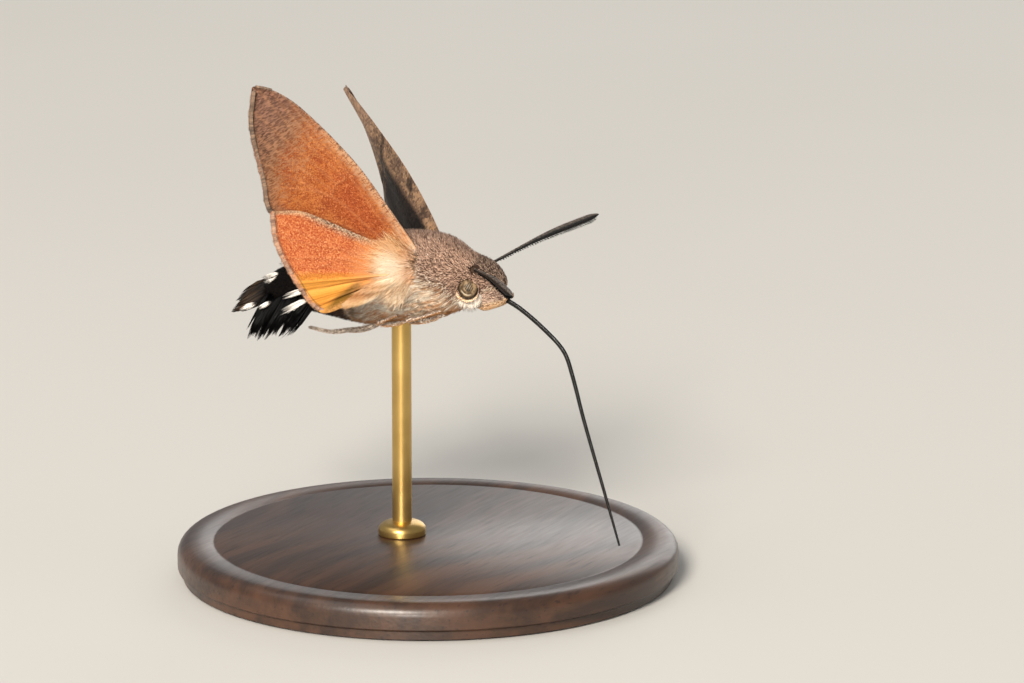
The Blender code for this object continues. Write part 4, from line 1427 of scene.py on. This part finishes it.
def hinge_design(wire):
    start, fan, length = split(attribute(wire, "marking"))
    tint, along = hair_numbers(wire)
    reach = start + along * length
    # painted highlight: the palest hair gathers in one soft spot on the fan, a little out from the hinge
    away = apart(reach - 3.1, (fan - 53.0) * 0.04)
    pale = mix(tint, "F2D0A2", "FFF4E2")
    warm = mix(tint, "D08C50", "F6D4A6")
    pink = mix(tint, "D89C6E", "F4D4B4")
    cream = mix(tint, "E6BA88", "FFF0D8")
    warm = mix(between(fan, 64, 80) * between(reach, 6.6, 5.4), warm, cream)
    colour = mix(between(away, 0.4, 1.9), pale, mix(between(reach, 2.8, 1.5), warm, pink))
    colour = mix(between(tint, 0.14, 0.06) * 0.6, colour, "8A5634")
    # painted shade: the hairs darken a little towards their roots
    return {"Base Color": mix(between(along, 0.4, 0.0) * 0.15, colour, "9A6A3C")}


hinge_finish = material("hinge_hair", hinge_design, Roughness=0.6, Specular_IOR_Level=0.25)


def plane_spines(side, kind, starts, degrees, lengths, lifts, bends, base):
    """Spines on a wing's plane that start in a direction and bend as they go."""
    here = starts
    spines = []
    for step in range(4):
        share = step / 3
        spines.append(wing_point(side, kind, here[:, 0], here[:, 1], 0.5, base + lifts * share))
        here = here + heading(np.radians(degrees + bends * share)) * (lengths / 3)[:, None]
    return np.stack(spines, axis=1)


def lock_tint(lock):
    """A number between 0 and 1 that the hairs of a lock share."""
    return (np.sin(lock * 12.9898) * 43758.5453) % 1.0


def wing_patch(flat, margin):
    """Places on a wing's plane as places in the baked picture."""
    return np.clip(np.column_stack([flat[:, 0] / 24 + margin, (flat[:, 1] + 2) / 14]), 0, 1)


def wing_hair(name, side, kind, starts, degrees, lengths, lifts, bends, width, local, base=0.08):
    """One piece of hairs on a wing, marked with how far from the hinge and which way each starts."""
    spines = plane_spines(side, kind, starts, degrees, lengths, lifts, bends, base)
    lock = np.floor(degrees / 4.0 + starts[:, 1] * 2.0)
    tints = np.clip(lock_tint(lock) + local.normal(0, 0.15, len(starts)), 0, 1)
    away = starts - HAIR_ORIGIN
    ways = np.degrees(np.arctan2(away[:, 1], away[:, 0]))
    marks = np.column_stack([np.linalg.norm(away, axis=1), ways, lengths])
    spikes(name, spines, width * local.uniform(0.7, 1.3, len(starts)), wing_under(side), marks, tints,
           hinge_finish, wing_patch(starts, 0.05))


for side, sign in SIDES.items():
    local = np.random.default_rng(90)
    count = FAN_HAIRS
    degrees = local.uniform(6, 106, count)
    out = local.uniform(0.7, 3.4, count)
    starts = HAIR_ORIGIN + heading(np.radians(degrees)) * out[:, None]
    starts = starts + local.normal(0, 0.22, (count, 2))
    base = 0.08 + 0.3 * np.clip(2.2 - out, 0, 1) * local.random(count)
    wing_hair(f"hinge_fan_{side}", side, "hindwing", starts, degrees + local.normal(0, 9, count),
              local.uniform(0.9, 2.3, count) * np.clip(0.55 + degrees / 60, 0.6, 1),
              local.uniform(0.02, 0.2, count), local.normal(0, 12, count), 0.045, local, base)
    count = LOBE_HAIRS
    out = local.uniform(0.3, 5.0, count)
    fan = 73 + local.uniform(-1, 1, count) * np.clip((5.3 - out) * 4.5, 1, 11)
    starts = HINGE_PLAN + heading(np.radians(fan)) * out[:, None]
    wing_hair(f"inner_lobe_{side}", side, "hindwing", starts, fan + local.normal(0, 2.5, count),
              local.uniform(1.1, 1.7, count), local.uniform(0.15, 0.5, count),
              local.normal(1, 5, count), 0.075, local)
    count = FOREWING_HAIRS
    starts = np.column_stack([local.uniform(-1.2, 1.8, count), local.uniform(-0.35, 2.0, count)])
    wing_hair(f"forewing_base_hair_{side}", side, "forewing", starts, local.normal(8, 8, count),
              local.uniform(0.8, 2.4, count), local.uniform(0.05, 0.22, count),
              local.normal(0, 6, count), 0.055, local)
    count = CUFF_HAIRS
    degrees = local.uniform(46, 128, count)
    flat = np.column_stack([np.full(count, 0.5), np.interp(degrees, (34, 128), (1.0, 3.6))])
    flat = flat + local.normal(0, 0.35, (count, 2))
    first = wing_point(side, "hindwing", flat[:, 0], flat[:, 1], 0.5, local.uniform(0.0, 0.3, count))
    reach_x = np.interp(degrees, (34, 60, 90, 128), (1.5, 1.9, 1.7, 0.4))
    reach_x = reach_x + local.uniform(-0.8, 0.3, count)
    root_angle = math.pi / 2 - sign * np.radians(degrees)
    lift = local.uniform(-0.1, 0.16, count) + 0.12 * np.clip((60 - degrees) / 26, 0, 1)
    last = body_point(reach_x, root_angle, lift)
    out = body_normal(reach_x, root_angle)
    middle = (first + last) / 2 + out * local.uniform(0.2, 0.5, count)[:, None]
    spines = [first * (1 - t) ** 2 + middle * 2 * t * (1 - t) + last * t * t
              for t in (0, 0.33, 0.67, 1.0)]
    lock = np.floor((degrees + local.normal(0, 2, count)) / 3.5)
    tints = np.clip(lock_tint(lock) * 0.6 + local.random(count) * 0.4, 0, 0.93)
    marks = np.column_stack([np.full(count, -0.4), 12 + 0.4 * (degrees - 34), degrees])
    spikes(f"cuff_{side}", np.stack(spines, axis=1), 0.055, out, marks, tints,
           coat_finish, unrolled(last))

# %% [markdown]
# The fringe: long slim scales stand out from the outer margin of each wing and soften its
# outline. They are blades from the same spikes.

# %% Fringe
FRINGE_BLADES, TIP_BLADES = 1500, 220
FRINGES = {"forewing": (0.45, "4A3A31", "A4866E"), "hindwing": (0.42, "6C4E40", "D4A98C")}
for kind, (start, dark, light) in FRINGES.items():
    finish = plain_fur(f"{kind}_fringe", dark, light, 0.65, 0.5, 0.7, (0.3, 0.0), "4A3A32")
    for side in SIDES:
        count = FRINGE_BLADES
        local = np.random.default_rng(61)
        edge = np.linspace(start, 0.995, count) + local.normal(0, 0.0006, count)
        row = np.ones(count)
        if kind == "forewing":
            edge = np.append(edge, np.linspace(0.93, 0.997, TIP_BLADES))
            row = np.append(row, np.zeros(TIP_BLADES))
            count += TIP_BLADES
        flat, lead, trail = wing_plan(kind, edge, row)
        ahead = wing_plan(kind, np.clip(edge + 0.004, 0, 1), row)[0]
        along_edge = unit(ahead - flat)
        outward = np.column_stack([-along_edge[:, 1], along_edge[:, 0]])
        middle = wing_plan(kind, edge, 0.1 + 0.8 * row)[0]
        outward *= np.sign(np.sum(outward * (flat - middle), axis=1))[:, None]
        outward = unit(outward + local.normal(0, 0.10, (count, 2)) + np.outer(1 - row, (0.5, 0)))
        length = local.uniform(0.24, 0.46, count) * (0.85 + 0.15 * np.sin(edge * 60) ** 2)
        clump = local.random(160)[(edge * 159).astype(int)]
        inner = flat - outward * (0.06 + 0.36 * row)[:, None]
        reach = outward * (length * (0.6 + 0.4 * row) + 0.12 * row)[:, None]
        layer = local.normal(0, 0.02, count)
        spines = []
        for step in (0.0, 0.15, 0.6, 1.0):
            spot = inner + reach * step
            spines.append(wing_point(side, kind, spot[:, 0], spot[:, 1], row, layer))
        marks = np.column_stack([inner, np.zeros(count)])
        spikes(f"{kind}_fringe_{side}", np.stack(spines, axis=1), 0.08, wing_under(side), marks,
               clump * 0.6 + local.random(count) * 0.4, finish,
               wing_patch(inner, 0.02), plump=(1.0, 1.0), flat=0.35)

# %% [markdown]
# Tubes: antennae, tongue and legs are all swept along a route. A flat grid is rolled into a tube
# whose radius may change at every ring, its seam is merged and its ends are closed.

# %% Rolling a grid into a tube
def tube(route, radii, around, groove=0.0):
    """A closed tube in millimetres along a route, one ring for each of its points."""
    rings = len(route)
    shape = bmesh.new()
    bmesh.ops.create_grid(shape, x_segments=rings - 1, y_segments=around, size=1.0)
    tangents = unit(np.gradient(route, axis=0))
    side = unit(np.cross(tangents, (0, 0, 1)) + np.array((0, 1e-6, 0)))
    top = np.cross(side, tangents)
    for vertex in shape.verts:
        ring = round((vertex.co.x + 1) / 2 * (rings - 1))
        turn = (vertex.co.y + 1) * math.pi
        radius = radii[ring] * (1 - groove * math.exp(-(math.sin(turn) / 0.22) ** 2))
        out = side[ring] * math.cos(turn) + top[ring] * math.sin(turn)
        vertex.co = Vector(route[ring] + out * radius)
    bmesh.ops.remove_doubles(shape, verts=shape.verts, dist=1e-5)
    bmesh.ops.holes_fill(shape, edges=[edge for edge in shape.edges if edge.is_boundary])
    bmesh.ops.recalc_face_normals(shape, faces=shape.faces)
    return shape


def tube_piece(name, shape, finish, nodes):
    mesh = as_mesh(name, shape)
    keep_values(mesh, "place", vertex_places(mesh))
    mesh.transform(TO_FRAME)
    finish_piece(name, mesh, [finish], nodes)


# %% [markdown]
# Eyes: a ball of thousands of facets. In a living moth a few dark spots, the pseudopupil, seem to
# float in the olive ball; here they are painted where they show in the photograph.

# %% Eyes
EYE_FACETS = 14000.0


def eye_design(wire):
    x, y, z = split(attribute(wire, "place"))
    facets = cells(own_place(wire), EYE_FACETS)
    spots = noise(attribute(wire, "place"), 2.2, 3.0)
    out = wire.math("ABSOLUTE", y)
    right = x * 0.891 - out * 0.454
    up = z * 0.974 - x * 0.102 - out * 0.2
    ring = apart(right, up)
    colour = mix(between(spots, 0.36, 0.62), "4E3D2A", "9A8060")
    # painted shade: the eye darkens towards its left side
    colour = mix(between(right - up * 0.3, 0.0, -0.75) * 0.5, colour, "3E3020")
    colour = mix(between(ring, 0.7, 0.84) * 0.85, colour, "21190F")
    # painted highlight: a pale arc at the lower left of the eye
    highlight_arc = band(ring, 0.6, 0.67, 0.05) * between(right * 0.6 + up * 1.4, -0.5, -0.9)
    colour = mix(highlight_arc * 0.8, colour, "F0E0C4")
    middle = apart(right - 0.06, up - 0.06)
    lines = wire.math("SINE", right * 30.0 - up * 17.0 + spots * 3.0)
    pupil = between(middle, 0.44, 0.34) * (between(lines, -0.3, 0.3) * 0.6 + 0.4)
    colour = mix(pupil * 0.92, colour, "120E08")
    return {"Base Color": colour, "Normal": relief(facets, 0.000012)}


eye_finish = material("eye_shell", eye_design, Roughness=0.5, Specular_IOR_Level=0.3,
                      Coat_Weight=0.05, Coat_Roughness=0.3)
for side, sign in SIDES.items():
    shape = bmesh.new()
    bmesh.ops.create_uvsphere(shape, u_segments=72, v_segments=48, radius=1.0)
    bmesh.ops.scale(shape, vec=EYE_RADII, verts=shape.verts)
    mesh = as_mesh(f"eyeball_{side}", shape)
    keep_values(mesh, "place", vertex_places(mesh))
    mesh.transform(TO_FRAME @ Matrix.Translation(EYE_PLACE * (1, sign, 1)))
    finish_piece(f"eyeball_{side}", mesh, [eye_finish], [f"eye_{side}"])

# %% [markdown]
# Antennae thicken towards a pointed tip. Each is a stack of short segments, scaled grey above
# and set with a comb of fine dark bristles beneath.

# %% Antennae
ANTENNAE = {"right": (7.98, -8.41, 0.1), "left": (6.86, 8.44, 3.75)}
ANTENNA_LENGTH = 11.6
ANTENNA_BOW = (0, 0, 0.3)
ANTENNA_RADII = (
    (0, 0.13), (0.03, 0.2), (0.06, 0.14), (0.3, 0.18), (0.75, 0.34), (0.9, 0.33), (0.97, 0.2), (1, 0.05),
)
ANTENNA_SEGMENTS = 46
ANTENNA_HAIRS = 900


def antenna_design(wire):
    place = attribute(wire, "place")
    speck = speckle(place, 14.0)
    up = split(wire.node("NewGeometry", {}, {}, 1))[2]
    grey = mix(between(speck, 0.2, 0.9), "241E1B", "6C6158")
    colour = mix(between(up, 0.35, 0.85), "080706", grey)
    return {"Base Color": colour, "Normal": relief(cells(place, 9.0), 0.00003)}


antenna_finish = material("antenna", antenna_design, Roughness=0.45, Specular_IOR_Level=0.3)
for side, sign in SIDES.items():
    direction = unit(ANTENNAE[side])
    base = ANTENNA_ROOT * (1, sign, 1)
    reach = direction * ANTENNA_LENGTH
    points = [base - direction * 0.25, base + reach / 2 + ANTENNA_BOW, base + reach * 0.995]
    route = smooth_route(points, ANTENNA_SEGMENTS * 5 + 1)
    share = np.linspace(0, 1, len(route))
    beads = 1 - 0.16 * np.abs(np.sin(share * ANTENNA_SEGMENTS * math.pi + math.pi / 2)) ** 6
    radii = read_rows(ANTENNA_RADII, share)[:, 0] * beads
    limb = tube(route, radii, 14)
    tube_piece(f"feeler_{side}", limb, antenna_finish, [f"antenna_{side}"])
    count = ANTENNA_HAIRS
    local = np.random.default_rng(70)
    spot = local.uniform(0.12, 0.96, count)
    spot = (np.floor(spot * ANTENNA_SEGMENTS) + 0.5 + local.normal(0, 0.12, count)) / ANTENNA_SEGMENTS
    root = read_route(spot, share, route)
    radius = read_rows(ANTENNA_RADII, spot)
    across = unit(np.cross(direction, (0, 0, 1)))
    down = np.cross(direction, across)
    down *= -np.sign(down[2])
    tilt = local.uniform(-0.9, 0.9, count)[:, None]
    out = unit(down * np.cos(tilt) + across * np.sin(tilt) + direction * 0.25)
    length = radius * local.uniform(0.7, 1.0, count)[:, None]
    spines = [root + out * (radius * 0.8),
              root + out * (radius + length * 0.5),
              root + out * (radius + length)]
    flat_place = np.column_stack([spot, tilt[:, 0] / 4 + 0.5])
    marks = np.column_stack([spot, spot, spot])
    spikes(f"antenna_bristles_{side}", np.stack(spines, axis=1), 0.05, direction, marks,
           local.random(count), black_finish, flat_place)

# %% [markdown]
# The tongue is two half pipes zipped together: a glossy black tube, finely ringed, with a groove
# along it, thinner towards the tip.

# %% Proboscis
PROBOSCIS = (
    (8.6, -0.45), (11.0, -1.55), (13.9, -3.6), (15.4, -5.1),
    (16.2, -7.1), (17.4, -11.2), (19.5, -17.7), (21.0, -22.4),
)


def proboscis_design(wire):
    place = attribute(wire, "place")
    tone = noise(place, 1.2, 3.0)
    colour = mix(between(tone, 0.4, 0.7), "030303", "120D0A")
    normal = relief(noise(place, 9.0, 2.0), 0.00001)
    return {"Base Color": colour, "Roughness": 0.14 + tone * 0.2, "Normal": normal}


proboscis_finish = material("proboscis", proboscis_design, Specular_IOR_Level=0.45)
route = smooth_route([(x, 0, z) for x, z in PROBOSCIS], 700)
share = np.linspace(0, 1, len(route))
rings = 1 - 0.05 * (np.arange(len(route)) % 4 == 0)
radii = np.interp(share, (0, 0.3, 0.8, 1), (0.235, 0.2, 0.15, 0.1)) * rings
tube_piece("tongue", tube(route, radii, 16, 0.22), proboscis_finish, ["proboscis"])

# %% [markdown]
# Legs: folded along the belly, with a stout femur, a tibia that widens below the knee and a thin
# jointed foot; the hind legs trail behind the hem of fur. Pale scales and hair cover them.

# %% Legs
LEG_ROUTES = {
    "fore": ((3.7, 14, 0.0), (2.2, 20, 0.55), (0.6, 28, 0.6), (2.2, 36, 0.6), (4.1, 42, 0.58)),
    "mid": ((0.2, 17, 0.0), (-1.1, 22, 0.6), (-2.4, 28, 0.6), (-1.2, 38, 0.6), (0.0, 46, 0.58)),
}
HIND_LEGS = {
    "right": ((-4.2, 1.75, -4.6), (-5.9, 1.8, -4.9), (-7.6, 1.8, -5.2), (-9.85, 1.8, -5.0)),
    "left": ((-4.2, 1.75, -4.55), (-5.9, 1.9, -4.55), (-7.6, 1.9, -4.5), (-9.6, 1.9, -4.4)),
}
LEG_RADII = (
    (0, 0.18), (0.15, 0.21), (0.42, 0.16), (0.46, 0.13), (0.5, 0.16),
    (0.62, 0.15), (0.66, 0.11), (0.8, 0.1), (1, 0.07),
)
FOOT_START = 0.66
HIND_LEG_HAIRS, LEG_HAIRS = 900, 420


def leg_design(wire):
    place = attribute(wire, "place")
    speck = speckle(place, 6.0)
    colour = mix(between(speck, 0.2, 0.85), "8A7466", "E6D6C4")
    return {"Base Color": colour, "Normal": relief(cells(place, 6.0), 0.00004)}


leg_finish = material("leg_scales", leg_design, Roughness=0.6, Specular_IOR_Level=0.25)


def leg_fur_design(wire):
    tint = kept_number(wire, "tint")
    upper = split(attribute(wire, "marking"))[1]
    pale = mix(tint, "7E6857", "E2D4C4")
    # pale scales on the upper side; the orange beneath is a painted warm reflection, as on the belly
    return {"Base Color": mix(between(upper, -0.2, 0.35), mix(tint, "B06C30", "E6B27A"), pale)}


leg_fur = material("leg_fur", leg_fur_design, Roughness=0.6, Specular_IOR_Level=0.25)


def belly_point(x, degrees, lift):
    """A point on the underside, so many degrees round from the belly's middle."""
    return body_point(x, -math.pi / 2 + math.radians(degrees), lift)


for side, sign in SIDES.items():
    routes = {}
    for name, rows in LEG_ROUTES.items():
        routes[name] = [belly_point(x, sign * out, lift * 0.6) for x, out, lift in rows]
    start = belly_point(-2.7, sign * 13, 0.0)
    routes["hind"] = [start] + [np.array((x, sign * y, z)) for x, y, z in HIND_LEGS[side]]
    for name, points in routes.items():
        route = smooth_route(points, 90)
        share = np.linspace(0, 1, len(route))
        radii = read_rows(LEG_RADII, share)[:, 0]
        joints = 1 - 0.22 * np.abs(np.sin(share * math.pi * 15)) ** 8
        limb = tube(route, radii * np.where(share > FOOT_START, joints, 1.0), 12)
        tube_piece(f"{name}_limb_{side}", limb, leg_finish, [f"{name}_leg_{side}"])
        count, puff, paler = (HIND_LEG_HAIRS, 0.1, 1.0) if name == "hind" else (LEG_HAIRS, 0.07, 0.0)
        local = np.random.default_rng(80)
        spot = local.uniform(0.04, 0.97, count)
        turn = local.random(count) * 2 * math.pi
        root = read_route(spot, share, route)
        ahead = unit(read_route(spot, share, np.gradient(route, axis=0)))
        across = unit(np.cross(ahead, (0, 0, 1)))
        up = np.cross(across, ahead)
        out = across * np.cos(turn)[:, None] + up * np.sin(turn)[:, None]
        radius = read_rows(LEG_RADII, spot)
        length = (local.uniform(0.22, 0.42, count) * (1.1 - 0.5 * spot))[:, None]
        spines = [root + out * radius * 0.85,
                  root + out * (radius + puff * 0.75) + ahead * length * 0.55,
                  root + out * (radius + puff) + ahead * length]
        flat_place = np.column_stack([spot, turn / (2 * math.pi)])
        marks = np.column_stack([spot, out[:, 2] + paler, spot])
        spikes(f"{name}_leg_fur_{side}", np.stack(spines, axis=1), 0.07, out, marks,
               local.random(count), leg_fur, flat_place)

# %% [markdown]
# The stand is not in the photograph: a turned walnut disc and a thin brass rod with a collar,
# plain enough to leave the moth alone. Both are turned on a lathe, which is what spin does.

# %% Stand
BASE_RADIUS, BASE_THICKNESS = 23.0, 3.5
ROD_RADIUS, COLLAR_RADIUS = 0.9, 2.2


def rounded(radius, height, inward, upward, steps):
    """A rounded edge that turns inwards and upwards from a point of an outline."""
    return [(radius - inward * (1 - math.cos(a)), height + upward * math.sin(a))
            for a in np.linspace(0.2, math.pi / 2, steps)]


def turned(name, node, outline, finish, x, steps):
    """Spins an outline of (radius, height) in millimetres about the upright axis at x."""
    shape = bmesh.new()
    corners = [shape.verts.new((radius, 0, height)) for radius, height in outline]
    edges = [shape.edges.new(pair) for pair in zip(corners, corners[1:])]
    bmesh.ops.spin(shape, geom=corners + edges, cent=(0, 0, 0), axis=(0, 0, 1), angle=2 * math.pi,
                   steps=steps, use_merge=True)
    bmesh.ops.remove_doubles(shape, verts=shape.verts, dist=1e-5)
    bmesh.ops.recalc_face_normals(shape, faces=shape.faces)
    bmesh.ops.translate(shape, vec=(x, 0, 0), verts=shape.verts)
    shape.transform(Matrix.Scale(MM, 4))
    mesh = as_mesh(node, shape)
    finish_piece(name, mesh, [finish], [node])
    mesh.set_sharp_from_angle(angle=math.radians(35))


def wood_design(wire):
    place = own_place(wire)
    x, y, z = split(place)
    bent = join(wire, x * 150.0 + noise(place, 25.0, 2.0) * 3.0, y * 12.0, z * 150.0)
    grain = noise(bent, 2.2, 4.0, 0.65)
    pores = noise(join(wire, x * 2600.0, y * 220.0, z * 2600.0), 1.0, 2.0)
    colour = mix(between(grain, 0.3, 0.7), "2A1A11", "4C3120")
    colour = mix(between(pores, 0.6, 0.72) * 0.6, colour, "170D08")
    return {"Base Color": colour, "Roughness": 0.32 + pores * 0.18, "Normal": relief(pores, 0.00002)}


def brass_design(wire):
    place = own_place(wire)
    x, y, z = split(place)
    lathe = noise(join(wire, x * 30.0, y * 30.0, z * 9000.0), 1.0, 2.0)
    tone = noise(place, 300.0, 3.0)
    colour = mix(between(tone, 0.3, 0.75), "C2A05E", "D2B06C")
    return {"Base Color": colour, "Roughness": 0.26 + tone * 0.18, "Normal": relief(lathe, 0.000004)}


base_outline = [
    (0, 0.25), (20.6, 0.25), (20.6, 0), (22.0, 0), (22.5, 0.2), (22.5, 0.9),
    (BASE_RADIUS, 1.2), (BASE_RADIUS, 2.3), *rounded(BASE_RADIUS, 2.3, 1.2, 1.2, 8),
    (20.0, BASE_THICKNESS), (19.8, 3.38), (19.5, 3.38), (19.3, BASE_THICKNESS), (0, BASE_THICKNESS),
]
walnut = material("walnut", wood_design, Coat_Weight=0.25, Coat_Roughness=0.25)
turned("turned_base", "stand_base", base_outline, walnut, 0.0, 96)

rod_low, rod_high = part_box("stand_rod")
rod_x = (rod_low.x + rod_high.x) / 2 / MM
foot, top = rod_low.z / MM, rod_high.z / MM
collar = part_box("stand_base")[1].z / MM
rod_outline = [
    (0, foot), (ROD_RADIUS, foot), (ROD_RADIUS, collar), (COLLAR_RADIUS - 0.1, collar),
    (COLLAR_RADIUS, collar + 0.1), (COLLAR_RADIUS, collar + 0.5),
    *rounded(COLLAR_RADIUS, collar + 0.5, 1.1, 0.75, 7),
    (ROD_RADIUS, collar + 1.3), (ROD_RADIUS, top), (0, top),
]
brass = material("brass", brass_design, Metallic=1.0)
turned("turned_rod", "stand_rod", rod_outline, brass, rod_x, 48)

# %% Sizes and finish
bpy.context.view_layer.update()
meshes = [piece.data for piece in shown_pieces() if piece.type == "MESH"]
triangles = sum(len(face.vertices) - 2 for mesh in meshes for face in mesh.polygons)
print("triangles before modifiers:", triangles)
